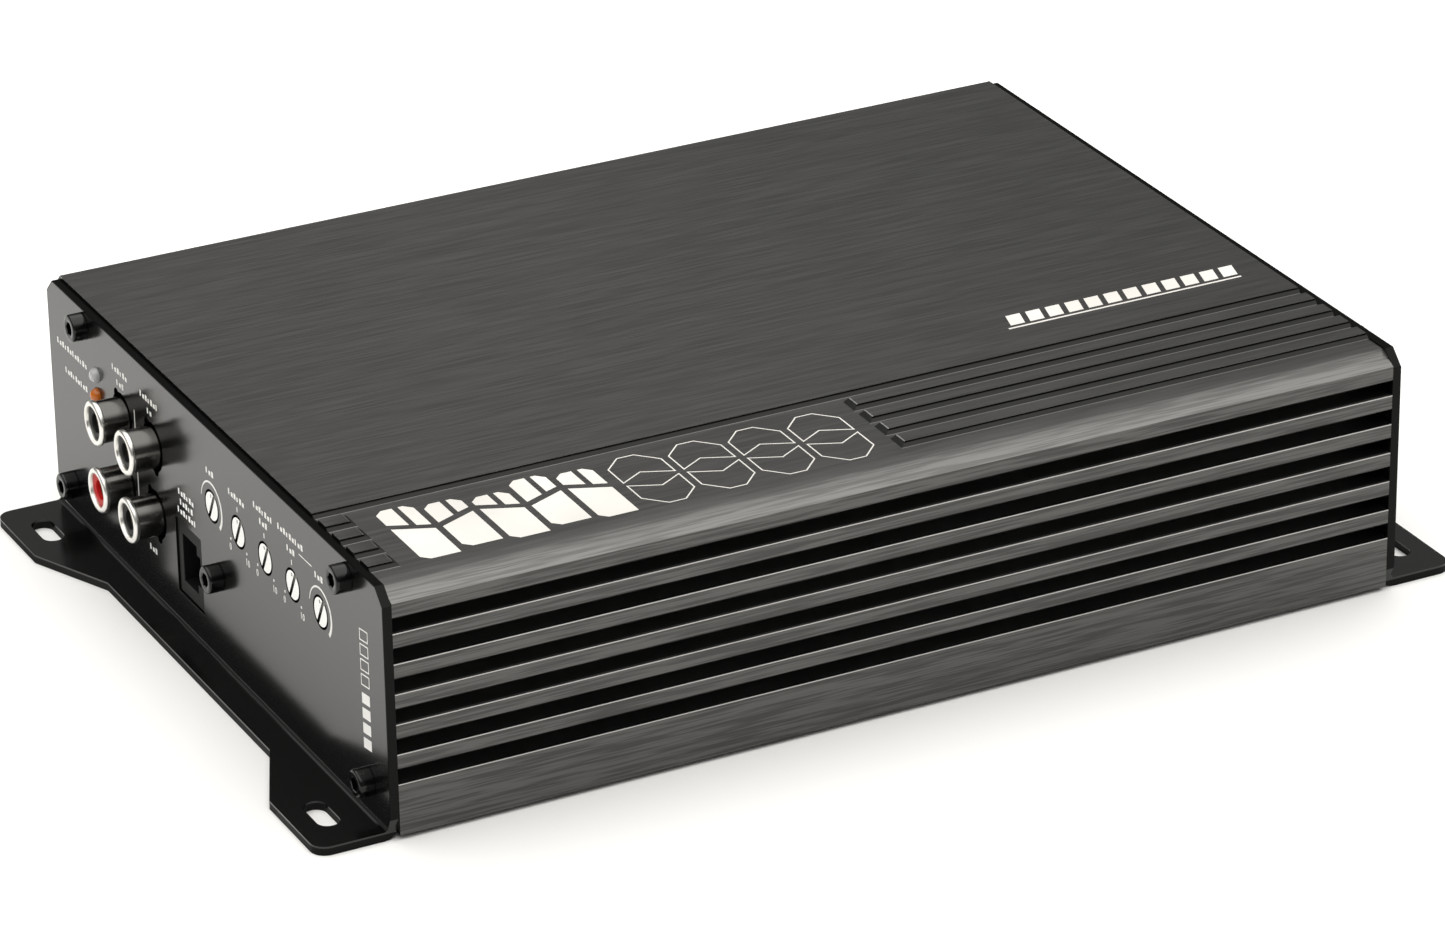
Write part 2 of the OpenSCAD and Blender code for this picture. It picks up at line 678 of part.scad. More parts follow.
// Spring wires that lean into the plug space from the wall opposite the latch
module remote_jack_contacts() color("gold") {
    wall_y = jack_mouth_y + jack_mouth[0] / 2;
    for (i = [0:jack_contact_n - 1]) {
        z = jack_z + (i - (jack_contact_n - 1) / 2) * jack_contact_pitch;
        translate([panel_x + jack_recess + 4, wall_y - 2.2, z - lead_w / 2])
            linear_extrude(lead_w) polygon([[0, 2.2], [0.5, 2.2], [8.6, 0.5], [9, 0.5],
                [9, 0], [8.4, 0], [0, 1.7]]);
    }
}

// ---------------------------------------------------------------- boards

function standoff_places() = [for (x = [-standoff_x, 0, block_in_x - 5], side = [-1, 1])
    [x, side * standoff_y]];

module main_board() color("darkgreen") difference() {
    box([-board_half_l, -board_half_w, board_z], [board_half_l, board_half_w, board_top_z]);
    for (p = standoff_places()) translate([p[0], p[1], board_z - 1])
        cylinder(r = screw_r + 0.1, h = board_t + 2);
}

// Upright board that carries the sockets, the adjusters, the lamps and the jack
module front_board() color("darkgreen")
    box([front_board_x, pot_last_y - 8, board_top_z],
        [front_board_x + board_t, led_y + 6, ceiling_z - 1]);

module board_standoffs() color("gold") for (p = standoff_places())
    translate([p[0], p[1], cover_top_z]) difference() {
        cylinder(r = screw_head_r + 0.25, h = standoff_h, $fn = 6);
        translate([0, 0, -eps]) cylinder(r = screw_r + 0.02, h = standoff_h + 2 * eps);
    }

module board_screws() color("silver") for (p = standoff_places())
    translate([p[0], p[1], board_top_z]) difference() {
        union() {
            cylinder(r = screw_head_r, h = board_screw_head_h);
            translate([0, 0, 0.5 - board_t - standoff_h])
                cylinder(r = screw_r, h = board_t + standoff_h);
        }
        for (turn = [0, 90]) rotate([0, 0, turn])
            translate([-1.6, -0.3, board_screw_head_h - 0.9]) cube([3.2, 0.6, 1]);
    }

// Pin row that joins the two boards at their corner
module board_link() color([0.1, 0.1, 0.1])
    box([front_board_x + board_t, -20, board_top_z], [front_board_x + board_t + 5, 20, board_top_z + 6]);

// Block behind the panel's middle screw, standing on the main board
module panel_bracket() color("silver") difference() {
    union() {
        box([panel_in_x, mid_screw_y - 5, board_top_z], [panel_in_x + 6, mid_screw_y + 5, mid_screw_z + 5]);
        box([panel_in_x + 6 - eps, mid_screw_y - 5, board_top_z], [panel_in_x + 11, mid_screw_y + 5,
            board_top_z + 2]);
    }
    rod_x(panel_in_x - 1, mid_screw_y, mid_screw_z, screw_r + 0.02, 8);
}

// ---------------------------------------------------------------- power parts

module capacitors() color("midnightblue") for (p = CAPS) translate([p[0], p[1], board_top_z])
    rotate_extrude() polygon([[0, 0], [cap_r, 0], [cap_r, 3], [cap_r - 0.5, 3.6], [cap_r, 4.2],
        [cap_r, cap_h], [cap_r - 0.8, cap_h], [cap_r - 0.8, cap_h - 0.3], [0, cap_h - 0.3]]);

// Rectangular ring of a wound core, standing clear of the board inside its winding
module ring_core(x, y, r, h) translate([x, y, board_top_z + ring_lift]) difference() {
    cylinder(r = r - wire_t, h = h - 2 * wire_t);
    translate([0, 0, -eps]) cylinder(r = r * 0.45 + wire_t, h = h);
}

// Winding as a shell around the core, with a gap between its two halves
module ring_winding(x, y, r, h) translate([x, y, board_top_z + ring_lift - wire_t]) difference() {
    cylinder(r = r, h = h);
    translate([0, 0, -eps]) cylinder(r = r * 0.45, h = h + 2 * eps);
    translate([0, 0, wire_t]) difference() {
        cylinder(r = r - wire_t, h = h - 2 * wire_t);
        translate([0, 0, -eps]) cylinder(r = r * 0.45 + wire_t, h = h);
    }
    translate([-r - 1, -2, -eps]) cube([2 * r + 2, 4, h + 2 * eps]);
}

module toroid_core() color("dimgray") ring_core(toroid_x, toroid_y, toroid_r, toroid_h);
module toroid_winding() color("peru") ring_winding(toroid_x, toroid_y, toroid_r, toroid_h);
module output_coil_core() color("olive") ring_core(coil_x, coil_y, coil_r, toroid_h);
module output_coil_winding() color("peru") ring_winding(coil_x, coil_y, coil_r, toroid_h);

// Everything that stands against a side wall is drawn for +Y and mirrored for -Y
module both_walls() for (side = [0, 1]) mirror([0, side, 0]) translate([0, cavity_half_w, 0]) children();

module along_fets() for (i = [0:fet_n - 1]) translate([fet_first_x + i * fet_pitch, 0, 0]) children();

module transistor_bodies() color([0.12, 0.12, 0.12]) both_walls() along_fets()
    box([-fet_w / 2, -pad_t - tab_t - fet_t, fet_z], [fet_w / 2, -pad_t - tab_t, fet_z + fet_h]);

// Mounting tab behind each body and the three legs down to the board
module transistor_tabs() color("silver") both_walls() along_fets() {
    difference() {
        box([-fet_w / 2, -pad_t - tab_t, fet_z + 0.6], [fet_w / 2, -pad_t, fet_z + fet_tab_h]);
        translate([0, -pad_t - tab_t - 1, fet_z + fet_tab_h - 3]) rotate([-90, 0, 0])
            cylinder(r = 1.8, h = tab_t + 2);
    }
    for (dx = [-2.54, 0, 2.54]) box([dx - 0.4, -pad_t - tab_t - fet_t / 2 - 0.25, board_top_z],
        [dx + 0.4, -pad_t - tab_t - fet_t / 2 + 0.25, fet_z]);
}

module thermal_pads() color("lightsteelblue") both_walls() difference() {
    box([-row_l / 2, -pad_t, fet_z], [row_l / 2, 0, fet_z + fet_tab_h + 1]);
    clamp_holes(screw_r + 0.2, pad_t + 2, -pad_t - 1);
}

module clamp_bars() color("silver") both_walls() difference() {
    box([-row_l / 2, -pad_t - tab_t - fet_t - bar_t, bar_z],
        [row_l / 2, -pad_t - tab_t - fet_t, bar_z + bar_h]);
    clamp_holes(screw_r + 0.1, bar_t + 2, -pad_t - tab_t - fet_t - bar_t - 1);
}

module clamp_holes(r, l, y) for (x = clamp_x) translate([x, y, bar_z + bar_h / 2])
    rotate([-90, 0, 0]) cylinder(r = r, h = l);

module clamp_screws() color("silver") both_walls() for (x = clamp_x)
    translate([x, -pad_t - tab_t - fet_t - bar_t, bar_z + bar_h / 2]) rotate([-90, 0, 0])
        difference() {
            union() {
                translate([0, 0, -clamp_head_h]) cylinder(r = screw_head_r, h = clamp_head_h);
                translate([0, 0, -1])
                    cylinder(r = screw_r, h = 1 + pad_t + tab_t + fet_t + bar_t + clamp_screw_in);
            }
            translate([0, 0, -clamp_head_h - eps]) cylinder(r = 1.3, h = 0.8, $fn = 6);
        }

// ---------------------------------------------------------------- terminals

// Space that one lug takes, grown by a clearance
module lug_space(t, gap) {
    half = t[2] + lug_side + gap;
    box([lug_in_x, t[0] - half, lug_low_z - gap], [lug_x + gap, t[0] + half, lug_top_z + gap]);
}

// Moulded block with a pocket for each lug, a wire mouth and a screwdriver hole
module terminal_block(y, half, terminals) difference() {
    box([block_in_x, y - half, board_top_z], [block_x, y + half, block_top_z]);
    for (t = terminals) {
        lug_space(t, 0.02);
        rod_x(lug_x - 1, t[0], wire_z, t[1] + 0.6, block_x - lug_x + 2);
        translate([set_screw_x, t[0], lug_top_z - 1]) cylinder(r = t[2] + 0.4, h = block_top_z);
    }
    for (i = [0:len(terminals) - 2]) {
        mid = (terminals[i][0] + terminals[i + 1][0]) / 2;
        box([half_l + 2, mid - 0.6, lug_top_z + 1], [block_x + 1, mid + 0.6, block_top_z + 1]);
    }
}

module power_block() color([0.08, 0.08, 0.08])
    terminal_block(power_y, power_block_half_w, [for (i = [0:2]) TERMINALS[i]]);

module speaker_block() color([0.08, 0.08, 0.08])
    terminal_block(speaker_y, speaker_block_half_w, [for (i = [3:4]) TERMINALS[i]]);

module terminal_lugs() color("goldenrod") for (t = TERMINALS) difference() {
    lug_space(t, 0);
    rod_x(lug_in_x + 2, t[0], wire_z, t[1], lug_x - lug_in_x);
    translate([set_screw_x, t[0], wire_z - 0.3 * t[1]]) cylinder(r = t[2] + run_gap, h = lug_top_z);
}

// Height at which a clamping foot rests, just above the wire's space
function foot_z(t) = wire_z + t[1] + 0.2;

module clamp_foot(t) translate([set_screw_x, t[0], foot_z(t)]) difference() {
    cylinder(r = t[2], h = foot_t);
    translate([0, 0, foot_t - stub_l - run_gap]) cylinder(r = stub_r + run_gap, h = stub_l + 1);
}

module set_screw(t) translate([set_screw_x, t[0], foot_z(t) + foot_t + run_gap]) difference() {
    union() {
        cylinder(r = t[2], h = set_screw_l);
        translate([0, 0, -stub_l]) cylinder(r = stub_r, h = stub_l + eps);
    }
    translate([0, 0, set_screw_l - 2.5]) cylinder(r = t[2] * 0.6, h = 3, $fn = 6);
}

module battery_screw() color("silver") set_screw(TERMINALS[0]);
module battery_foot() color("goldenrod") clamp_foot(TERMINALS[0]);
module remote_screw() color("silver") set_screw(TERMINALS[1]);
module remote_foot() color("goldenrod") clamp_foot(TERMINALS[1]);
module ground_screw() color("silver") set_screw(TERMINALS[2]);
module ground_foot() color("goldenrod") clamp_foot(TERMINALS[2]);
module speaker_plus_screw() color("silver") set_screw(TERMINALS[3]);
module speaker_plus_foot() color("goldenrod") clamp_foot(TERMINALS[3]);
module speaker_minus_screw() color("silver") set_screw(TERMINALS[4]);
module speaker_minus_foot() color("goldenrod") clamp_foot(TERMINALS[4]);

// ---------------------------------------------------------------- fuses

module fuse_holder() color([0.08, 0.08, 0.08]) difference() {
    box([fuse_holder_in_x, fuse_y - fuse_half_w, fuse_low_z],
        [fuse_holder_x, fuse_y + fuse_half_w, fuse_high_z]);
    for (z = FUSE_Z) {
        box([fuse_seat_x, fuse_y - fuse_w / 2 - fuse_gap, z - fuse_t / 2 - fuse_gap],
            [fuse_holder_x + 1, fuse_y + fuse_w / 2 + fuse_gap, z + fuse_t / 2 + fuse_gap]);
        for (side = [-1, 1]) box([fuse_seat_x - blade_l - 2, fuse_y + side * blade_y - blade_w / 2 - 0.4,
            z - blade_slot_t], [fuse_seat_x + 1, fuse_y + side * blade_y + blade_w / 2 + 0.4,
            z + blade_slot_t]);
    }
}

// Pairs of spring leaves that grip the blades
module fuse_clips() color("goldenrod") for (z = FUSE_Z, side = [-1, 1], leaf = [-1, 1])
    translate([fuse_seat_x - blade_l - 2, fuse_y + side * blade_y - blade_w / 2,
        z + leaf * (blade_slot_t - clip_t / 2) - clip_t / 2])
        cube([blade_l + 1, blade_w, clip_t]);

// Body with a narrower waist below its shoulders, as a blade fuse has
module fuse_body(z) difference() {
    box([fuse_seat_x + fuse_gap, fuse_y - fuse_w / 2, z - fuse_t / 2],
        [fuse_seat_x + fuse_gap + fuse_body_h, fuse_y + fuse_w / 2, z + fuse_t / 2]);
    for (side = [-1, 1]) box([fuse_seat_x, fuse_y + side * (fuse_w / 2 - 1) - (1 + eps), z - fuse_t],
        [fuse_seat_x + fuse_gap + 2.6, fuse_y + side * (fuse_w / 2 - 1) + (1 + eps), z + fuse_t]);
    box([fuse_seat_x + fuse_gap + fuse_body_h - 0.8, fuse_y - fuse_w / 2 + 1.4, z - fuse_t / 2 + 1.2],
        [fuse_seat_x + fuse_gap + fuse_body_h + 1, fuse_y + fuse_w / 2 - 1.4, z + fuse_t / 2 - 1.2]);
}

module fuse_blades(z) for (side = [-1, 1])
    box([fuse_seat_x + fuse_gap - blade_l, fuse_y + side * blade_y - blade_w / 2, z - blade_t / 2],
        [fuse_seat_x + fuse_gap, fuse_y + side * blade_y + blade_w / 2, z + blade_t / 2]);

module fuse_a_body() color("mediumseagreen") fuse_body(FUSE_Z[0]);
module fuse_a_blades() color("silver") fuse_blades(FUSE_Z[0]);
module fuse_b_body() color("mediumseagreen") fuse_body(FUSE_Z[1]);
module fuse_b_blades() color("silver") fuse_blades(FUSE_Z[1]);

heatsink();
bottom_cover();
bottom_cover_screws();
input_end_plate();
output_end_plate();
end_plate_screws();
rca_housing();
rca_shells();
rca_black_insulators();
rca_red_insulator();
rca_center_contacts();
power_lamp();
protect_lamp();
lamp_leads();
pot_bodies();
pot_back_covers();
gain_shaft();
low_pass_shaft();
subsonic_shaft();
boost_frequency_shaft();
boost_level_shaft();
remote_jack();
remote_jack_contacts();
main_board();
front_board();
board_standoffs();
board_screws();
board_link();
panel_bracket();
capacitors();
toroid_core();
toroid_winding();
output_coil_core();
output_coil_winding();
transistor_bodies();
transistor_tabs();
thermal_pads();
clamp_bars();
clamp_screws();
power_block();
speaker_block();
terminal_lugs();
battery_screw();
battery_foot();
ground_screw();
ground_foot();
remote_screw();
remote_foot();
speaker_plus_screw();
speaker_plus_foot();
speaker_minus_screw();
speaker_minus_foot();
fuse_holder();
fuse_clips();
fuse_a_body();
fuse_a_blades();
fuse_b_body();
fuse_b_blades();
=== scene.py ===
import json
import math

import bmesh
import bpy
import numpy as np
from mathutils import Matrix, Vector


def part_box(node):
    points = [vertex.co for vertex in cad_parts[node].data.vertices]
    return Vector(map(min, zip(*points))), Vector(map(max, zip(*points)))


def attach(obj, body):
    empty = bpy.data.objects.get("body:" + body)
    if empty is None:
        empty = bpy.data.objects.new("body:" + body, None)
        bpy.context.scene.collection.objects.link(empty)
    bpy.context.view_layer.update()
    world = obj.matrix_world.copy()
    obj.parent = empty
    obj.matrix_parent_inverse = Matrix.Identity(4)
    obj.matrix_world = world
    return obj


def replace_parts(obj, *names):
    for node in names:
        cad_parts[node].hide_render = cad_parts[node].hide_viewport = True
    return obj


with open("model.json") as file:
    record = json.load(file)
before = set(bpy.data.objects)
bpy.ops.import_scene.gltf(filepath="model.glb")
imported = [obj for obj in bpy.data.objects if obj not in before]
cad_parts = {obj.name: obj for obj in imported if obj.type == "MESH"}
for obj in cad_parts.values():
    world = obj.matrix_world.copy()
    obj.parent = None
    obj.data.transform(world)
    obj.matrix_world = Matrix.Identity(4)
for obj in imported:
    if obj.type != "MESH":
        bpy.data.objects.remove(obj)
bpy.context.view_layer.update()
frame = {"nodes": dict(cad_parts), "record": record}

bl_info = {
    "name": "Car Amplifier Looks",
    "version": (1, 0, 0),
    "blender": (4, 5, 0),
    "location": "View3D > Sidebar > Amplifier",
    "description": "Builds the finishes, fine shapes and studio for a finned car audio amplifier",
    "category": "Object",
}

MM = 0.001
HOUSING = "housing"

# ---------------------------------------------------------------- the frame's own sizes

SINK_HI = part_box("heatsink")[1]
PLATE_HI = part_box("input_end_plate")[1]
PLATE_T = 1.8 * MM
PANEL_X = PLATE_HI.x - PLATE_T
HALF_W = SINK_HI.y
TOP_Z = SINK_HI.z
PLATE_FACE = SINK_HI.x + PLATE_T


def middle(node):
    """Centre of a CAD node's box."""
    low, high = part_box(node)
    return (low + high) / 2


# ---------------------------------------------------------------- settings


class AmplifierSizes(bpy.types.PropertyGroup):
    """Sizes of the fine shapes that the looks add to the frame"""

    edge_round: bpy.props.FloatProperty(
        name="Edge round", description="Rounding of the machined and moulded edges",
        default=0.15 * MM, unit="LENGTH")
    plate_round: bpy.props.FloatProperty(
        name="Plate round", description="Rounding of the end plates' edges",
        default=0.4 * MM, unit="LENGTH")
    print_height: bpy.props.FloatProperty(
        name="Print height", description="How far printed marks stand off their surface",
        default=0.03 * MM, unit="LENGTH")


class AmplifierColours(bpy.types.PropertyGroup):
    """Colours of the finishes"""

    housing: bpy.props.FloatVectorProperty(
        name="Housing", description="Dark anodised aluminium", subtype="COLOR",
        default=(0.078, 0.077, 0.075))
    coat: bpy.props.FloatVectorProperty(
        name="Plate coat", description="Gloss black coat of the end plates", subtype="COLOR",
        default=(0.003, 0.0029, 0.0028))
    print_ink: bpy.props.FloatVectorProperty(
        name="Print", description="White printed marks", subtype="COLOR",
        default=(0.72, 0.7, 0.66))


# ---------------------------------------------------------------- mesh helpers


# Merging distance in metres, and the angles between faces that are shaded smooth, rounded or flat
WELD = 1e-6
SMOOTH_BELOW = math.radians(30.0)
BEVEL_ABOVE = math.radians(35.0)
FLAT_WITHIN = math.radians(1.0)
TURN_POINTS = 64


def put_mesh(name, parts, material, slot=None):
    """Makes one object of (points, faces) parts, gives it its finish and rides it."""
    firsts = np.cumsum([0] + [len(points) for points, _ in parts])
    faces = [tuple(np.add(face, first))
             for (_, shape), first in zip(parts, firsts) for face in shape]
    mesh = bpy.data.meshes.new(name)
    mesh.from_pydata([tuple(v) for v in np.concatenate([points for points, _ in parts])], [], faces)
    mesh.update()
    obj = bpy.data.objects.new(name, mesh)
    bpy.context.scene.collection.objects.link(obj)
    finish_mesh(obj, material)
    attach(obj, HOUSING)
    return obj


def put_closed(name, parts, material, slot):
    """Makes an object of round parts, shaded after their poles and seams are merged."""
    obj = put_mesh(name, parts, material, slot)
    weld_and_orient(obj, WELD)
    finish_mesh(obj, material)
    return obj


def weld_and_orient(obj, distance):
    """Merges doubled points, drops faces with no area and turns every face outwards.

    A distance of zero only turns the faces, which keeps shapes that touch each other apart.
    """
    bm = bmesh.new()
    bm.from_mesh(obj.data)
    if distance:
        bmesh.ops.remove_doubles(bm, verts=bm.verts, dist=distance)
        bmesh.ops.dissolve_degenerate(bm, edges=bm.edges, dist=distance)
    bmesh.ops.recalc_face_normals(bm, faces=bm.faces)
    bm.to_mesh(obj.data)
    bm.free()


def finish_mesh(obj, material):
    """Gives a mesh its material and smooth shading across its shallow edges."""
    obj.data.materials.clear()
    obj.data.materials.append(material)
    obj.data.polygons.foreach_set("use_smooth", np.ones(len(obj.data.polygons), bool))
    obj.data.set_sharp_from_angle(angle=SMOOTH_BELOW)


def grid_faces(nu, nv, close_u=False, close_v=False):
    """Quads of an nu by nv grid of points, each joined to its neighbour one step on in u and in v."""
    u = np.arange(nu if close_u else nu - 1)
    v = np.arange(nv if close_v else nv - 1)
    a, b = np.meshgrid(u, v, indexing="ij")
    a, b = a.ravel(), b.ravel()
    a2, b2 = (a + 1) % nu, (b + 1) % nv
    return np.stack([a * nv + b, a2 * nv + b, a2 * nv + b2, a * nv + b2], 1)


def lathe(profile, centre):
    """Points and faces of a profile turned about an axis along X.

    Each profile point is (distance along X, radius); the point at turn t lies at
    centre + along * X + radius * (cos t, sin t) across it. Zero radii become single poles, and a
    profile that keeps off the axis is joined end to start, so that the shape is a closed ring.
    """
    profile = np.asarray(profile, float)
    ring = bool(profile[:, 1].min() > 0)
    turn = np.linspace(0, 2 * np.pi, TURN_POINTS, endpoint=False)
    along = np.repeat(profile[:, 0][:, None], TURN_POINTS, 1)
    across = profile[:, 1][:, None] * np.cos(turn)[None, :]
    up = profile[:, 1][:, None] * np.sin(turn)[None, :]
    points = np.stack((along, across, up), -1).reshape(-1, 3) + np.asarray(centre, float)
    return points, grid_faces(len(profile), TURN_POINTS, close_u=ring, close_v=True)


def turned(name, profile, centres, material, slot):
    """One object of the same turned shape at several centres."""
    return put_closed(name, [lathe(profile, centre) for centre in centres], material, slot)


def soften(obj, width, segments=2):
    """Welds a CAD node's loose triangles into flat faces and rounds its sharp edges, all live."""
    weld = obj.modifiers.new("Weld", "WELD")
    weld.merge_threshold = WELD
    flat = obj.modifiers.new("Flat faces", "DECIMATE")
    flat.decimate_type = "DISSOLVE"
    flat.angle_limit = FLAT_WITHIN
    bevel = obj.modifiers.new("Edge round", "BEVEL")
    bevel.width = width
    bevel.segments = segments
    bevel.limit_method = "ANGLE"
    bevel.angle_limit = BEVEL_ABOVE
    level = obj.modifiers.new("Flat shading", "WEIGHTED_NORMAL")
    level.keep_sharp = True
    level.weight = 100


# ---------------------------------------------------------------- shared effects


def new_group(name, inputs, outputs):
    """An empty shader node group with named float inputs and named outputs."""
    group = bpy.data.node_groups.new(name, "ShaderNodeTree")
    for label, default in inputs:
        socket = group.interface.new_socket(label, in_out="INPUT", socket_type="NodeSocketFloat")
        socket.default_value = default
    for label, kind in outputs:
        group.interface.new_socket(label, in_out="OUTPUT", socket_type=kind)
    return group, group.nodes.new("NodeGroupInput"), group.nodes.new("NodeGroupOutput")


def math_node(nodes, links, operation, a, b):
    """A Math node whose two values are numbers or sockets."""
    node = nodes.new("ShaderNodeMath")
    node.operation = operation
    for i, value in enumerate((a, b)):
        if isinstance(value, bpy.types.NodeSocket):
            links.new(value, node.inputs[i])
        else:
            node.inputs[i].default_value = value
    return node.outputs[0]


def between(nodes, links, value, low, high):
    """One where the value lies between low and high, zero elsewhere."""
    return math_node(nodes, links, "MULTIPLY", math_node(nodes, links, "GREATER_THAN", value, low),
                     math_node(nodes, links, "LESS_THAN", value, high))


def noise(nodes, links, vector, scale, detail):
    """A 3-D Noise texture's value on the given coordinates."""
    node = nodes.new("ShaderNodeTexNoise")
    node.inputs["Scale"].default_value = scale
    node.inputs["Detail"].default_value = detail
    links.new(vector, node.inputs["Vector"])
    return node.outputs[0]


# Noise cells to the metre along X, Y and Z
FINE_STREAKS = (70.0, 2600.0, 2600.0)
BROAD_STREAKS = (40.0, 1200.0, 1200.0)


def make_brushed_group():
    """Long streaks along X: two layers of noise stretched along the extrusion, fine and broad."""
    group, inside, outside = new_group(
        "Brushed grain", [("Fine", 1.0), ("Broad", 1.0)],
        [("Streaks", "NodeSocketFloat"), ("Height", "NodeSocketFloat")])
    nodes, links = group.nodes, group.links
    coords = nodes.new("ShaderNodeTexCoord")
    layers = []
    for size in (FINE_STREAKS, BROAD_STREAKS):
        mapping = nodes.new("ShaderNodeMapping")
        mapping.inputs["Scale"].default_value = size
        links.new(coords.outputs["Object"], mapping.inputs["Vector"])
        value = noise(nodes, links, mapping.outputs[0], 1.0, 3.0)
        layers.append(math_node(nodes, links, "SUBTRACT", value, 0.5))
    fine = math_node(nodes, links, "MULTIPLY", layers[0], inside.outputs["Fine"])
    broad = math_node(nodes, links, "MULTIPLY", layers[1], inside.outputs["Broad"])
    total = math_node(nodes, links, "ADD", fine, broad)
    links.new(math_node(nodes, links, "ADD", total, 0.5), outside.inputs["Streaks"])
    links.new(layers[0], outside.inputs["Height"])
    return group


def make_grain_group():
    """Even grain: fine noise for a coated or moulded skin, with a slow drift for handling marks."""
    group, inside, outside = new_group(
        "Skin grain", [("Grain scale", 900.0)],
        [("Height", "NodeSocketFloat"), ("Drift", "NodeSocketFloat")])
    nodes, links = group.nodes, group.links
    coords = nodes.new("ShaderNodeTexCoord")
    fine = nodes.new("ShaderNodeTexNoise")
    fine.inputs["Detail"].default_value = 2.0
    links.new(coords.outputs["Object"], fine.inputs["Vector"])
    links.new(inside.outputs["Grain scale"], fine.inputs["Scale"])
    links.new(fine.outputs[0], outside.inputs["Height"])
    links.new(noise(nodes, links, coords.outputs["Object"], 35.0, 3.0), outside.inputs["Drift"])
    return group


# Heights and sides on the extrusion where one zone of its finish ends and the next begins
FRONT_Y = -74.6 * MM
FRONT_TOP_Z = 47.15 * MM
SLOPE_TOP_Z = 49.46 * MM
STEP_Z, CREST_Z, CREST_TOP_Z = 49.58 * MM, 50.27 * MM, 50.39 * MM
# X range over which the top is painted darker towards the power end: a painted falloff of light
PAINTED_FALLOFF_X = (-20 * MM, 105 * MM)
# Fin pitch, and where on each fin the painted highlight line starts
FIN_PITCH = 6.0 * MM
FIN_START_Z = 11.3 * MM
FIN_HIGHLIGHT_FROM = 5.78 * MM
FIN_FACE_Y = 78.3 * MM
FINS_Z = (10.0 * MM, 43.0 * MM)


def make_zones_group():
    """Zones of the extrusion by height: front, slope, ridge flanks in painted shade, slots and thin
    painted edge highlights.

    Painted falloff rises from 0 to 1 towards the power end, where the top is painted darker as a
    falloff of light.
    """
    outputs = [(label, "NodeSocketFloat")
               for label in ("Front", "Slope", "Painted edge highlight", "Slot", "Step", "Painted falloff")]
    group, _, outside = new_group("Extrusion zones", [], outputs)
    nodes, links = group.nodes, group.links

    def both(first, second):
        return math_node(nodes, links, "MULTIPLY", first, second)

    coords = nodes.new("ShaderNodeTexCoord")
    split = nodes.new("ShaderNodeSeparateXYZ")
    links.new(coords.outputs["Object"], split.inputs[0])
    height, across = split.outputs["Z"], split.outputs["Y"]
    links.new(math_node(nodes, links, "LESS_THAN", height, FRONT_TOP_Z), outside.inputs["Front"])
    front = math_node(nodes, links, "LESS_THAN", across, FRONT_Y)
    links.new(both(front, between(nodes, links, height, FRONT_TOP_Z, SLOPE_TOP_Z)),
              outside.inputs["Slope"])
    along = nodes.new("ShaderNodeMapRange")
    along.inputs["From Min"].default_value, along.inputs["From Max"].default_value = PAINTED_FALLOFF_X
    links.new(split.outputs["X"], along.inputs["Value"])
    links.new(along.outputs[0], outside.inputs["Painted falloff"])
    # Painted shade on every face between the step and crest heights: the walls of the ridge grooves
    # and the pocket's step
    links.new(between(nodes, links, height, STEP_Z, CREST_Z), outside.inputs["Step"])
    outer = math_node(nodes, links, "GREATER_THAN", math_node(nodes, links, "ABSOLUTE", across, 0.0),
                      FIN_FACE_Y)
    inner = math_node(nodes, links, "SUBTRACT", 1.0, outer)
    below_top = math_node(nodes, links, "LESS_THAN", height, FINS_Z[1])
    links.new(both(inner, below_top), outside.inputs["Slot"])
    # Painted highlight: a thin bright line along the top edge of each fin and along the crest of each
    # ridge
    offset = math_node(nodes, links, "SUBTRACT", height, FIN_START_Z)
    phase = math_node(nodes, links, "FLOORED_MODULO", offset, FIN_PITCH)
    line = both(math_node(nodes, links, "GREATER_THAN", phase, FIN_HIGHLIGHT_FROM), outer)
    line = both(line, between(nodes, links, height, *FINS_Z))
    crest = between(nodes, links, height, CREST_Z, CREST_TOP_Z)
    links.new(math_node(nodes, links, "MAXIMUM", line, crest), outside.inputs["Painted edge highlight"])
    return group


# Cut edges of an end plate: how far they reach in, the foot's lower side and the cut corners
RIM = 0.25 * MM
UNDERSIDE_Z = 1.45 * MM
CORNER_CUT = 3.3 * MM


def make_rims_group():
    """Gloss of a bent end plate: full on its faces, low on the cut edges where the coat runs thin."""
    group, inside, outside = new_group("Plate rims", [("Thin", 0.2)], [("Gloss", "NodeSocketFloat")])
    nodes, links = group.nodes, group.links
    coords = nodes.new("ShaderNodeTexCoord")
    split = nodes.new("ShaderNodeSeparateXYZ")
    links.new(coords.outputs["Object"], split.inputs[0])
    height = split.outputs["Z"]
    side = math_node(nodes, links, "ABSOLUTE", split.outputs["Y"], 0.0)
    corner = math_node(nodes, links, "ADD", side, height)
    rim = math_node(nodes, links, "LESS_THAN", height, UNDERSIDE_Z)
    for value, limit in ((side, HALF_W - RIM), (height, PLATE_HI.z - RIM),
                         (corner, HALF_W + PLATE_HI.z - CORNER_CUT)):
        rim = math_node(nodes, links, "MAXIMUM", rim,
                        math_node(nodes, links, "GREATER_THAN", value, limit))
    loss = math_node(nodes, links, "MULTIPLY", rim,
                     math_node(nodes, links, "SUBTRACT", 1.0, inside.outputs["Thin"]))
    links.new(math_node(nodes, links, "SUBTRACT", 1.0, loss), outside.inputs["Gloss"])
    return group


GROUP_MAKERS = {"brushed": make_brushed_group, "grain": make_grain_group, "zones": make_zones_group,
                "rims": make_rims_group}
GROUPS = {}


def shared(name):
    """A shared effect's node group, built the first time that it is asked for."""
    if name not in GROUPS:
        GROUPS[name] = GROUP_MAKERS[name]()
    return GROUPS[name]


# ---------------------------------------------------------------- materials


# Where most of a noise's values lie, and the two ends of a colour ramp on drift and on streaks
NOISE_RANGE = (0.25, 0.75)
DRIFT_ENDS = (0.2, 0.8)
STREAK_ENDS = (0.3, 0.7)


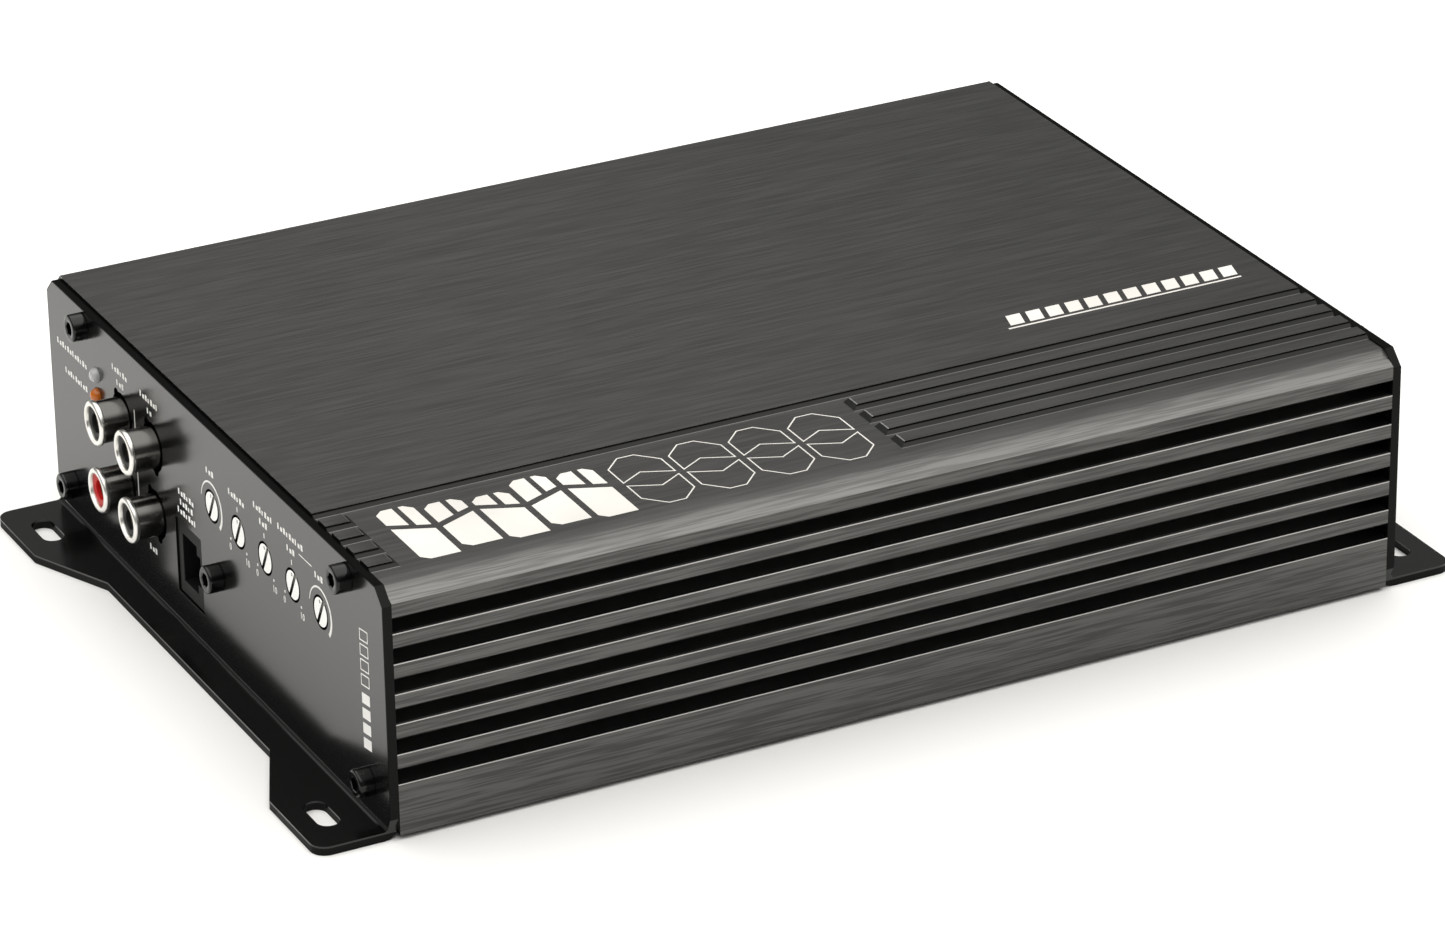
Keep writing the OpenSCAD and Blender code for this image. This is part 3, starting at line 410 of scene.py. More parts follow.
class Finish:
    """One material: a Principled BSDF with constants on its own sockets and masks from groups."""

    def __init__(self, name, colour, rough, **constants):
        self.material = bpy.data.materials.new(name)
        self.material.use_nodes = True
        self.nodes, self.links = self.material.node_tree.nodes, self.material.node_tree.links
        self.bsdf = next(n for n in self.nodes if n.type == "BSDF_PRINCIPLED")
        self.bsdf.inputs["Base Color"].default_value = (*colour, 1.0)
        self.bsdf.inputs["Roughness"].default_value = rough
        for label, value in constants.items():
            self.bsdf.inputs[label.replace("_", " ")].default_value = value

    def group(self, name, **values):
        """Places a shared effect and sets its inputs."""
        node = self.nodes.new("ShaderNodeGroup")
        node.node_tree = shared(name)
        for label, value in values.items():
            node.inputs[label.replace("_", " ")].default_value = value
        return node

    def spread(self, mask, low, high, target):
        """Feeds target with a noise, its usual range stretched to low..high."""
        node = self.nodes.new("ShaderNodeMapRange")
        labels = ("From Min", "From Max", "To Min", "To Max")
        for label, value in zip(labels, (*NOISE_RANGE, low, high)):
            node.inputs[label].default_value = value
        self.links.new(mask, node.inputs["Value"])
        self.links.new(node.outputs[0], self.bsdf.inputs[target])

    def ramp(self, mask, dark, light, ends=STREAK_ENDS):
        """A colour that goes from dark to light as the mask goes from one end to the other."""
        ramp = self.nodes.new("ShaderNodeValToRGB")
        for element, position, colour in zip(ramp.color_ramp.elements, ends, (dark, light)):
            element.position = position
            element.color = (*colour, 1.0)
        self.links.new(mask, ramp.inputs["Fac"])
        return ramp.outputs["Color"]

    def plain(self, colour):
        """An even colour as a socket."""
        node = self.nodes.new("ShaderNodeRGB")
        node.outputs[0].default_value = (*colour, 1.0)
        return node.outputs[0]

    def mix(self, mask, first, second):
        """First colour where the mask is 0, second where it is 1."""
        node = self.nodes.new("ShaderNodeMix")
        node.data_type = "RGBA"
        self.links.new(mask, node.inputs[0])
        self.links.new(first, node.inputs[6])
        self.links.new(second, node.inputs[7])
        return node.outputs[2]

    def bump(self, height, distance):
        """Feeds the normal with a bump of the height."""
        node = self.nodes.new("ShaderNodeBump")
        node.inputs["Distance"].default_value = distance
        self.links.new(height, node.inputs["Height"])
        self.links.new(node.outputs[0], self.bsdf.inputs["Normal"])

    def skin(self, colour, rough, scale, depth, shades=(0.85, 1.15), dulling=0.05):
        """Grain all over, with a colour and a gloss that drift slowly across the surface."""
        grain = self.group("grain", Grain_scale=scale)
        dark, light = (scaled(colour, shade) for shade in shades)
        drifting = self.ramp(grain.outputs["Drift"], dark, light, DRIFT_ENDS)
        self.links.new(drifting, self.bsdf.inputs["Base Color"])
        self.spread(grain.outputs["Drift"], rough - 0.03, rough + dulling, "Roughness")
        self.bump(grain.outputs["Height"], depth)


def scaled(colour, factor):
    """A colour made lighter or darker by a factor."""
    return tuple(min(1.0, c * factor) for c in colour)


# Darkest and lightest streak of each zone of the extrusion, as factors of the housing's colour. The
# zones share one anodised finish, so these factors are painted light and shade: a lighter slope and
# slots, a darker front, a top painted darker towards the power end, painted shade on the step walls
# and a painted highlight on the fin and ridge edges.
TOP_SHADES, FAR_TOP_SHADES = (1.28, 1.56), (0.98, 1.22)
FRONT_SHADES, SLOPE_SHADES = (0.9, 1.5), (1.3, 2.0)
SLOT_SHADE, PAINTED_STEP_SHADOW, EDGE_HIGHLIGHT_SHADE = 1.8, 0.3, 5.6


def housing_metal(name, colour):
    """Anodised extrusion: plain brushed top, machined slope, streaked front face, with painted light
    and shade in each zone.

    The zones follow the object's own height. The front, slots and slope get darker or lighter copies
    of the housing's colour as painted light and shade, a thin painted highlight marks the top edge of
    each fin and ridge, painted shade darkens the step walls, and the top is painted darker towards
    the power end as a falloff of light.
    """
    finish = Finish(name, colour, 0.36, Metallic=1.0)
    zones = finish.group("zones")
    streaks = finish.group("brushed", Fine=1.2, Broad=0.8)
    strong = finish.group("brushed", Fine=2.2, Broad=1.2)

    def streaked(source, shades):
        return finish.ramp(source.outputs["Streaks"], *(scaled(colour, shade) for shade in shades))

    # Painted falloff of light: the top's streaks are painted darker towards the power end
    mixed = finish.mix(zones.outputs["Painted falloff"], streaked(streaks, TOP_SHADES),
                       streaked(streaks, FAR_TOP_SHADES))
    # Painted light and shade: each zone lays its own lighter or darker copy of the housing's colour
    # over the top
    for zone, layer in (("Front", streaked(strong, FRONT_SHADES)),
                        ("Slot", finish.plain(scaled(colour, SLOT_SHADE))),
                        ("Slope", streaked(strong, SLOPE_SHADES)),
                        ("Step", finish.plain(scaled(colour, PAINTED_STEP_SHADOW))),
                        ("Painted edge highlight", finish.plain(scaled(colour, EDGE_HIGHLIGHT_SHADE)))):
        mixed = finish.mix(zones.outputs[zone], mixed, layer)
    finish.links.new(mixed, finish.bsdf.inputs["Base Color"])
    finish.spread(strong.outputs["Streaks"], 0.34, 0.4, "Roughness")
    finish.bump(streaks.outputs["Height"], 0.008 * MM)
    return finish.material


def coated(name, colour, rough, scale=700.0, depth=0.01 * MM, ior=1.5, **constants):
    """Paint, powder coat or moulded plastic: a dielectric skin with grain and drifting gloss."""
    finish = Finish(name, colour, rough, IOR=ior, **constants)
    finish.skin(colour, rough, scale, depth)
    return finish.material


def plate_coat(name, colour, gloss):
    """Gloss black coat over steel: a clear top layer that thins out on the plate's cut edges."""
    base = 0.3
    finish = Finish(name, colour, base, Specular_IOR_Level=0.0, Coat_Roughness=gloss, Coat_IOR=1.52)
    finish.skin(colour, base, 260.0, 0.004 * MM)
    rims = finish.group("rims", Thin=0.2)
    finish.links.new(rims.outputs["Gloss"], finish.bsdf.inputs["Coat Weight"])
    return finish.material


def bare_metal(name, colour, rough):
    """Plated or turned metal: drifting gloss and a faint surface texture."""
    finish = Finish(name, colour, rough, Metallic=1.0)
    finish.skin(colour, rough, 500.0, 0.005 * MM, shades=(0.9, 1.08), dulling=0.06)
    return finish.material


MATERIALS = {}


def make_materials():
    """Every finish of the amplifier: the record's slots, a lighter copy of the nickel as painted
    highlight on the socket rims, and the two inks.
    """
    colours = bpy.context.scene.amplifier_colours
    ink = tuple(colours.print_ink)
    MATERIALS.update({
        "anodised_aluminium": housing_metal("anodised_aluminium", tuple(colours.housing)),
        "black_coated_steel": plate_coat("black_coated_steel", tuple(colours.coat), 0.17),
        "black_screw_steel": coated("black_screw_steel", (0.002, 0.002, 0.002), 0.07, 900.0,
                                    0.002 * MM, 1.38),
        "bright_steel": bare_metal("bright_steel", (0.62, 0.62, 0.63), 0.28),
        "nickel": bare_metal("nickel", (0.1, 0.098, 0.092), 0.16),
        # A lighter copy of the barrels' nickel: painted highlight on the rolled socket rims
        "highlit_rim_nickel": bare_metal("highlit_rim_nickel", (0.8, 0.79, 0.75), 0.26),
        "gold_contact": bare_metal("gold_contact", (0.16, 0.13, 0.08), 0.32),
        "lug_brass": bare_metal("lug_brass", (0.72, 0.69, 0.62), 0.27),
        "black_moulding": coated("black_moulding", (0.004, 0.004, 0.004), 0.5, 1500.0,
                                 0.02 * MM, 1.3),
        "red_moulding": coated("red_moulding", (0.5, 0.006, 0.006), 0.4, 1500.0, 0.01 * MM, 1.3),
        "clear_resin": coated("clear_resin", (0.95, 0.96, 0.97), 0.04, 600.0, 0.001 * MM, 1.5,
                              Transmission_Weight=0.5),
        "amber_resin": coated("amber_resin", (0.8, 0.2, 0.012), 0.04, 600.0, 0.001 * MM, 1.5,
                              Transmission_Weight=0.35),
        "shaft_alloy": bare_metal("shaft_alloy", (0.9, 0.9, 0.88), 0.24),
        "blue_moulding": coated("blue_moulding", (0.05, 0.14, 0.32), 0.4),
        "circuit_board": coated("circuit_board", (0.015, 0.11, 0.04), 0.3, 300.0, 0.02 * MM),
        "capacitor_sleeve": coated("capacitor_sleeve", (0.015, 0.02, 0.07), 0.25),
        "ferrite": coated("ferrite", (0.06, 0.06, 0.062), 0.6, 900.0, 0.04 * MM),
        "copper_winding": bare_metal("copper_winding", (0.6, 0.25, 0.1), 0.3),
        "thermal_sheet": coated("thermal_sheet", (0.4, 0.44, 0.5), 0.6),
        "fuse_resin": coated("fuse_resin", (0.02, 0.42, 0.12), 0.12, 500.0, 0.001 * MM, 1.5,
                             Transmission_Weight=0.4),
        "print": coated("print", ink, 0.5, 1500.0),
        "panel_ink": coated("panel_ink", scaled(ink, 1.35), 0.5, 1500.0),
    })


def slot_of(node):
    """The material slot that the record gives a node."""
    return next(row["material_slot"] for row in frame["record"]["subparts"] if row["node"] == node)


# ---------------------------------------------------------------- pieces


class AMPLIFIER_OT_frame_finishes(bpy.types.Operator):
    """Give every CAD node the finish of its slot, and round the edges of the heatsink, terminal
    blocks, fuse holder, fuses, jack and end plates
    """

    bl_idname = "amplifier.frame_finishes"
    bl_label = "Frame finishes"

    def execute(self, context):
        make_materials()
        for node, obj in frame["nodes"].items():
            finish_mesh(obj, MATERIALS[slot_of(node)])
        sizes = context.scene.amplifier_sizes
        for node in ("heatsink", "power_block", "speaker_block", "fuse_holder", "fuse_a_body",
                     "fuse_b_body", "remote_jack"):
            soften(frame["nodes"][node], sizes.edge_round)
        for node in ("input_end_plate", "output_end_plate"):
            soften(frame["nodes"][node], sizes.plate_round, segments=3)
        return {"FINISHED"}


# ---------------------------------------------------------------- panel layout


SOCKET_RIM_R = 4.5 * MM
SOCKET_R = 4.15 * MM
SOCKET_BORE_R = 3.45 * MM
BARREL_START = 0.5 * MM
CONTACT_R = 1.66 * MM
CONTACT_OUTER_R = 1.91 * MM
# Rolled rim of a socket, as (distance behind the tip, radius) in millimetres
RIM_SECTION = ((0.8, 3.32), (0.3, 3.36), (0.06, 3.47), (0.0, 3.62), (0.0, 4.0), (0.06, 4.2),
               (0.2, 4.38), (0.4, 4.48), (0.6, 4.5), (0.95, 4.48), (1.1, 4.38), (1.15, 4.2),
               (1.15, 3.6))
SHAFTS = ("gain_shaft", "low_pass_shaft", "subsonic_shaft", "boost_frequency_shaft",
          "boost_level_shaft")


def socket_spots():
    """Places of the sockets: y of the rear and front columns, z of the upper and lower rows."""
    low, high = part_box("rca_shells")
    return {"rear": high.y - SOCKET_RIM_R, "front": low.y + SOCKET_RIM_R,
            "upper": high.z - SOCKET_RIM_R, "lower": low.z + SOCKET_RIM_R}


def x_range(node):
    """Where a CAD node starts and ends along X."""
    low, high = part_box(node)
    return low.x, high.x


class AMPLIFIER_OT_sockets(bpy.types.Operator):
    """Turn the four plated socket barrels with rolled rims, their insulators and contacts"""

    bl_idname = "amplifier.sockets"
    bl_label = "Phono sockets"

    def execute(self, context):
        spots = socket_spots()
        places = [(0, spots[column], spots[row]) for column, row in
                  (("rear", "upper"), ("front", "upper"), ("front", "lower"), ("rear", "lower"))]
        tip, root = x_range("rca_shells")
        rim = [(tip + along * MM, radius * MM) for along, radius in RIM_SECTION]
        # The rims take the lighter nickel copy as a painted highlight
        turned("rca_rims", rim, places, MATERIALS["highlit_rim_nickel"], "nickel")
        barrel = ring_profile(tip + BARREL_START, root, SOCKET_BORE_R, SOCKET_R, 0.05 * MM)
        bush = ring_profile(*x_range("rca_black_insulators"), CONTACT_OUTER_R, SOCKET_BORE_R,
                            0.25 * MM)
        sleeve = ring_profile(*x_range("rca_center_contacts"), CONTACT_R, CONTACT_OUTER_R,
                              0.08 * MM)
        for name, profile, centres, slot, node in (
                ("rca_barrels", barrel, places, "nickel", "rca_shells"),
                ("rca_black_bushes", bush, places[:3], "black_moulding", "rca_black_insulators"),
                ("rca_red_bush", bush, places[3:], "red_moulding", "rca_red_insulator"),
                ("rca_sleeves", sleeve, places, "gold_contact", "rca_center_contacts")):
            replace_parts(turned(name, profile, centres, MATERIALS[slot], slot), node)
        return {"FINISHED"}


def ring_profile(start, end, inner, outer, rounding):
    """Closed profile of a tube whose two mouths have small rounded edges."""
    r = rounding
    return [(start + r, inner), (start + 0.3 * r, inner + 0.3 * r), (start, inner + r),
            (start, outer - r), (start + 0.3 * r, outer - 0.3 * r), (start + r, outer),
            (end, outer), (end, inner)]


# Radii of a cap screw's head and shank and half the width of its socket, in millimetres
SCREW_HEAD_R, SCREW_SHANK_R, SCREW_SOCKET_HALF = 2.75, 1.5, 1.25
SCREW_POINTS = 72
SCREW_REACH = 3.5 * MM
TIP_DEPTH = 0.01 * MM


class AMPLIFIER_OT_screws(bpy.types.Operator):
    """Make the socket-cap screws that hold the two end plates"""

    bl_idname = "amplifier.screws"
    bl_label = "End plate screws"

    def execute(self, context):
        parts = [cap_screw(tip, out, abs(tip[0]) - PLATE_FACE, length)
                 for tip, out, length in screw_spots()]
        screws = put_closed("cap_screws", parts, MATERIALS["black_screw_steel"], "black_screw_steel")
        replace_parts(screws, "end_plate_screws")
        return {"FINISHED"}


def screw_spots():
    """Tip, outward side and length of each screw, found as the separate solids of the CAD node.

    A screw's tip is every point near the outermost X of its end of the housing; the points around
    one of them, taken away in turn, are one screw.
    """
    points = mesh_points(frame["nodes"]["end_plate_screws"].data)
    spots = []
    for side in (-1, 1):
        here = points[points[:, 0] * side > 0]
        outermost = np.abs(here[:, 0]).max()
        tips = here[np.abs(here[:, 0]) > outermost - TIP_DEPTH]
        while len(tips):
            near = np.hypot(*(tips[:, 1:] - tips[0, 1:]).T) < 2 * SCREW_REACH
            centre = (tips[near, 1:].min(0) + tips[near, 1:].max(0)) / 2
            whole = here[np.hypot(*(here[:, 1:] - centre).T) < SCREW_REACH, 0]
            spots.append(((side * outermost, *centre), side, np.ptp(whole)))
            tips = tips[~near]
    return spots


def mesh_points(mesh):
    """A mesh's vertices as rows."""
    points = np.empty(len(mesh.vertices) * 3)
    mesh.vertices.foreach_get("co", points)
    return points.reshape(-1, 3)


def cap_screw(tip, out, head, length):
    """Head and shank of a socket-cap screw about X, from rings that are round or hexagonal.

    A hexagonal ring's radius at turn t is its apothem over the cosine of t's distance from the
    middle of its side. Distances run inwards from the tip; head is the head's height and length the
    whole screw's.
    """
    turn = np.linspace(0, 2 * np.pi, SCREW_POINTS, endpoint=False)
    hexagon = 1 / np.cos((turn % (np.pi / 3)) - np.pi / 6)
    circle = np.ones(SCREW_POINTS)
    head, end = head / MM, length / MM
    floor = 0.58 * head
    rings = [(floor + 0.1, 0.0, hexagon), (floor, SCREW_SOCKET_HALF, hexagon),
             (0.12, SCREW_SOCKET_HALF, hexagon)]
    rings += [(along, radius, circle) for along, radius in (
        (0.0, 1.6), (0.0, 2.3), (0.05, 2.5), (0.16, 2.64), (0.35, 2.72), (0.6, SCREW_HEAD_R),
        (head - 0.1, SCREW_HEAD_R), (head, 2.65), (head, SCREW_SHANK_R), (end - 0.3, SCREW_SHANK_R),
        (end, 1.2), (end, 0.0))]
    points = [np.stack([np.full(SCREW_POINTS, tip[0] - out * along * MM),
                        tip[1] + radius * MM * shape * np.cos(turn),
                        tip[2] + radius * MM * shape * np.sin(turn)], 1)
              for along, radius, shape in rings]
    return np.concatenate(points), grid_faces(len(rings), SCREW_POINTS, close_v=True)


LAMP_R = 1.5 * MM
LAMP_FLANGE_R = 1.8 * MM
LAMP_FLANGE_T = 1.0 * MM


class AMPLIFIER_OT_lamps(bpy.types.Operator):
    """Turn the two lamps: a domed resin body with a flange behind"""

    bl_idname = "amplifier.lamps"
    bl_label = "Lamps"

    def execute(self, context):
        arc = np.linspace(0, np.pi / 2, 12)
        for node in ("power_lamp", "protect_lamp"):
            low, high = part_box(node)
            centre = (0, (low.y + high.y) / 2, (low.z + high.z) / 2)
            dome = [(low.x + LAMP_R - LAMP_R * math.cos(a), LAMP_R * math.sin(a)) for a in arc]
            back = [(high.x - LAMP_FLANGE_T, LAMP_R), (high.x - LAMP_FLANGE_T, LAMP_FLANGE_R),
                    (high.x, LAMP_FLANGE_R), (high.x, 0.0)]
            slot = slot_of(node)
            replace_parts(turned(node + "_dome", dome + back, [centre], MATERIALS[slot], slot), node)
        return {"FINISHED"}


# ---------------------------------------------------------------- printed marks


def prisms(name, outlines, place, ink="print"):
    """Thin printed marks: every flat block and stroke is raised by the print height and closed.

    An outline is a row of corners, or a stroke's two edges with whether it is closed. place turns
    (a, b, h) rows into points; a and b run along the surface and h stands off it.
    """
    height = bpy.context.scene.amplifier_sizes.print_height
    parts = []
    for outline in outlines:
        stroke = isinstance(outline, tuple)
        rows, faces = raised_stroke(*outline, height) if stroke else raised_block(outline, height)
        parts.append((place(rows), faces))
    weld_and_orient(put_mesh(name, parts, MATERIALS[ink]), 0.0)


def raised_block(outline, height):
    """Rows (a, b, h) and faces of a flat outline raised straight up."""
    flat = np.asarray(outline, float) * MM
    n = len(flat)
    rows = np.concatenate([np.column_stack([flat, np.full(n, h)]) for h in (0.0, height)])
    walls = [(i, (i + 1) % n, n + (i + 1) % n, n + i) for i in range(n)]
    return rows, [tuple(range(n)), tuple(range(n, 2 * n)), *walls]


def raised_stroke(edges, closed, height):
    """Rows (a, b, h) and faces of a stroke: the four corners of its section, swept along it."""
    left, right = edges[:, 0] * MM, edges[:, 1] * MM
    n = len(edges)
    corners = [np.column_stack([side, np.full(n, h)])
               for side, h in ((left, 0.0), (left, height), (right, height), (right, 0.0))]
    faces = [tuple(face) for face in grid_faces(n, 4, close_u=closed, close_v=True)]
    if not closed:
        faces += [(0, 1, 2, 3), (4 * n - 4, 4 * n - 3, 4 * n - 2, 4 * n - 1)]
    return np.stack(corners, 1).reshape(-1, 3), faces


def band(points, widths):
    """An open stroke along a line of points, with its width at each point, as its two edges."""
    p = np.asarray(points, float)
    step = np.gradient(p, axis=0)
    normal = np.column_stack([-step[:, 1], step[:, 0]]) / np.hypot(*step.T)[:, None]
    half = np.broadcast_to(np.asarray(widths, float), len(p))[:, None] / 2
    return np.stack([p + normal * half, p - normal * half], 1), False


def loop(corners, width):
    """A closed outline of even width, mitred at its corners, as its two edges."""
    p = np.asarray(corners, float)
    ahead = np.roll(p, -1, 0) - p
    ahead /= np.hypot(*ahead.T)[:, None]
    behind = np.roll(ahead, 1, 0)
    both = ahead + behind
    side = np.column_stack([-both[:, 1], both[:, 0]])
    side /= (side ** 2).sum(1)[:, None] / 2
    return np.stack([p + side * width / 2, p - side * width / 2], 1), True


def slab(a0, b0, a1, b1, lean=0.0):
    """A four-cornered mark from (a0, b0) to (a1, b1) whose top is shifted along a by lean."""
    return [(a0, b0), (a1, b0), (a1 + lean, b1), (a0 + lean, b1)]


def on_panel(rows):
    """Panel surface: a runs to the viewer's right (-Y), b up, h out of the panel (-X)."""
    return np.column_stack([np.full(len(rows), PANEL_X) - rows[:, 2], -rows[:, 0], rows[:, 1]])


def on_top(level):
    """Level surface at a height: a runs along X, b along Y, h up."""
    def place(rows):
        return np.column_stack([rows[:, 0], rows[:, 1], level + rows[:, 2]])
    return place


# Printed marks, in millimetres: radii, a word's height over its dial, and the step of its strokes
DIAL_R, DOT_R = 4.8, 0.28
WORD_RISE = 6.9
STROKE_STEP = 1.3


class AMPLIFIER_OT_panel_marks(bpy.types.Operator):
    """Print the dials, ticks, dots and generic label strokes on the control panel"""

    bl_idname = "amplifier.panel_marks"
    bl_label = "Panel marks"

    def execute(self, context):
        dials = [(-middle(node).y / MM, middle(node).z / MM) for node in SHAFTS]
        marks = [swelling_arc(*dials[0]), swelling_arc(*dials[-1])]
        for a, b in dials[1:-1]:
            marks.append(slab(a - 0.17, b + 4.1, a + 0.17, b + 5.1))
            marks += [dot(a + side * 3.7, b - 2.9) for side in (-1, 1)]
        for a, b, strokes in panel_labels(dials):
            marks += label(a, b, strokes)
        spots = socket_spots()
        between_sockets = -(spots["rear"] + spots["front"]) / 2 / MM - 1.0
        marks.append(slab(between_sockets - 0.14, 18.5, between_sockets + 0.14, 38.5))
        marks.append(slab(dials[3][0] + 3.6, dials[3][1] + 7.7, dials[4][0] - 3.2, dials[3][1] + 7.9))
        prisms("panel_print", marks, on_panel, "panel_ink")
        prisms("panel_bars", upright_bars(70.3), on_panel, "panel_ink")
        dial_numbers([(a + side * 4.0, b - 5.3, "0" if side < 0 else "10")
                      for a, b in dials[1:-1] for side in (-1, 1)])
        return {"FINISHED"}


def swelling_arc(a, b):
    """An arc round a dial that grows wider from its low end to its high end."""
    turn = np.radians(np.linspace(172, -42, 40))
    return band(np.column_stack([a + DIAL_R * np.cos(turn), b + DIAL_R * np.sin(turn)]),
                np.linspace(0.2, 0.75, 40))


def dot(a, b):
    """A small round mark."""
    turn = np.linspace(0, 2 * np.pi, 12, endpoint=False)
    return np.column_stack([a + DOT_R * np.cos(turn), b + DOT_R * np.sin(turn)])


def panel_labels(dials):
    """Middle and number of strokes of each label: over the dials, the sockets, the jack and lamps."""
    (gain, row), (low_pass, _), (subsonic, _), (frequency, _), (level, _) = dials
    return [(gain, row + WORD_RISE, 3), (low_pass, row + WORD_RISE, 6),
            (subsonic, row + 9.2, 7), (subsonic, row + WORD_RISE, 3),
            (frequency, row + 9.6, 9), (frequency, row + WORD_RISE, 3), (level, row + WORD_RISE, 3),
            (-42.1, 43.6, 6), (-42.1, 41.0, 3), (-27.6, 43.6, 7), (-27.6, 41.2, 2),
            (-29.2, 11.7, 3), (-67.0, 37.8, 12), (-65.4, 32.8, 9),
            (-11.2, 30.2, 6), (-11.2, 28.2, 5), (-11.2, 26.2, 7)]


def label(a, b, strokes):
    """A row of short upright strokes that alternate in height and width, in place of a word."""
    marks = []
    for i in range(strokes):
        left, foot = a - strokes * STROKE_STEP / 2 + i * STROKE_STEP, b - 0.6
        width = 0.85 if i % 3 else 0.55
        tall = 0.62 if i % 2 else 0.85
        marks.append(slab(left, foot, left + width, foot + tall * 1.4))
    return marks


def upright_bars(a):
    """A column of slanted bars beside the panel's front edge, four solid and four outlined above."""
    def bar(b):
        return [(a - 1.8, b), (a + 1.6, b + 0.5), (a + 1.6, b + 2.6), (a - 1.8, b + 2.1)]
    return ([bar(14.5 + i * 3.0) for i in range(4)]
            + [loop(bar(27.2 + i * 3.0), 0.22) for i in range(4)])


def dial_numbers(numbers):
    """Small generic dial numbers, made as text, turned into a mesh and laid on the panel."""
    half_depth = 0.015
    parts = []
    for a, b, text in numbers:
        curve = bpy.data.curves.new("number", "FONT")
        curve.body, curve.size, curve.resolution_u = text, 2.0, 2
        curve.align_x, curve.extrude, curve.offset = "CENTER", half_depth, 0.03
        holder = bpy.data.objects.new("number", curve)
        mesh = bpy.data.meshes.new_from_object(holder)
        rows = (mesh_points(mesh) + (a, b, half_depth)) * MM
        parts.append((on_panel(rows), [tuple(face.vertices) for face in mesh.polygons]))
        bpy.data.objects.remove(holder)
        bpy.data.meshes.remove(mesh)
        bpy.data.curves.remove(curve)
    weld_and_orient(put_mesh("dial_numbers", parts, MATERIALS["panel_ink"]), 0.1 * WELD)


POCKET_DEPTH = 0.9 * MM


class AMPLIFIER_OT_top_marks(bpy.types.Operator):
    """Print the level-meter bars, the outlined block pairs and the slanted strip on the top"""

    bl_idname = "amplifier.top_marks"
    bl_label = "Top marks"

    def execute(self, context):
        floor = on_top(TOP_Z - POCKET_DEPTH)
        prisms("pocket_blocks", cracked_bars(-93.4, -70.1, -48.3), floor)
        lines = [loop(corners, 0.26) for i in range(4)
                 for corners in chevron_pair(-43.0 + i * 12.3, -59.5)]
        prisms("pocket_chevrons", lines, floor)
        strip = [slab(46.5 + i * 4.3, -33.9, 49.6 + i * 4.3, -29.6, 1.2) for i in range(12)]
        strip.append(slab(45.4, -35.3, 97.0, -34.8))
        prisms("corner_strip", strip, on_top(TOP_Z))
        return {"FINISHED"}


def cracked_bars(start, low, high):
    """Five bold level bars, every one split by the same zigzag gap and notched in turn."""
    marks = []
    pitch, width, cut, half_gap = 8.8, 7.4, 1.5, 0.9
    for i in range(5):
        a0, a1 = start + i * pitch, start + i * pitch + width
        mid, notch = (a0 + a1) / 2, (a0 + a1) / 2 + 1.2
        rise = -1.6 if i % 2 else 1.6
        b0, b1, split = low + (i % 2) * 1.2, high - (i % 3) * cut, (low + high) / 2 + 2.4
        below, above = split - half_gap, split + half_gap
        marks.append([(a0 + cut, b0), (a1, b0), (a1, below - rise), (a0, below + rise),
                      (a0, b0 + cut)])
        marks.append([(a0, above + rise), (mid, above), (mid, b1), (a0 + cut, b1), (a0, b1 - cut)])
        marks.append([(notch, above - rise * 0.4), (a1, above - rise), (a1, b1 - cut), (a1 - cut, b1),
                      (notch, b1)])
    return marks


def chevron_pair(a, b):
    """Corners of an upper and a lower block that face each other across a zigzag gap."""
    upper = [(-5.3, 0.6), (-0.6, 3.4), (5.3, 0.8), (5.3, 6.6), (1.6, 10.5), (-1.8, 10.5),
             (-5.3, 6.9)]
    return [[(a + x, b + y) for x, y in upper], [(a - x, b - y) for x, y in upper]]


# ---------------------------------------------------------------- stage


class AMPLIFIER_OT_stage(bpy.types.Operator):
    """Set up the pale floor, the soft light and the camera"""

    bl_idname = "amplifier.stage"
    bl_label = "Stage"

    def execute(self, context):
        scene = context.scene
        scene.view_settings.view_transform = "Standard"
        make_floor()
        make_world(scene)
        make_camera(scene)
        return {"FINISHED"}


def make_floor():
    """A wide white plane at the mounting surface."""
    half = 6.0
    verts = [(-half, -half, 0), (half, -half, 0), (half, half, 0), (-half, half, 0)]
    mesh = bpy.data.meshes.new("floor")
    mesh.from_pydata(verts, [], [(0, 1, 2, 3)])
    floor = bpy.data.objects.new("floor", mesh)
    bpy.context.scene.collection.objects.link(floor)
    material = bpy.data.materials.new("floor_white")
    material.use_nodes = True
    bsdf = material.node_tree.nodes["Principled BSDF"]
    bsdf.inputs["Base Color"].default_value = (0.92, 0.915, 0.905, 1)
    bsdf.inputs["Roughness"].default_value = 0.7
    mesh.materials.append(material)


def make_world(scene):
    """Soft studio light: dimmer towards the horizon, brightest straight above."""
    world = bpy.data.worlds.new("studio")
    scene.world = world
    world.use_nodes = True
    nodes, links = world.node_tree.nodes, world.node_tree.links
    background = nodes["Background"]
    coords = nodes.new("ShaderNodeTexCoord")
    split = nodes.new("ShaderNodeSeparateXYZ")
    ramp = nodes.new("ShaderNodeValToRGB")
    ramp.color_ramp.interpolation = "EASE"
    low, high = ramp.color_ramp.elements
    low.position, low.color = 0.45, (0.088, 0.087, 0.085, 1)
    high.position, high.color = 0.88, (1.0, 0.99, 0.965, 1)
    links.new(coords.outputs["Generated"], split.inputs[0])
    links.new(split.outputs["Z"], ramp.inputs["Fac"])
    links.new(ramp.outputs["Color"], background.inputs["Color"])
    background.inputs["Strength"].default_value = 2.5


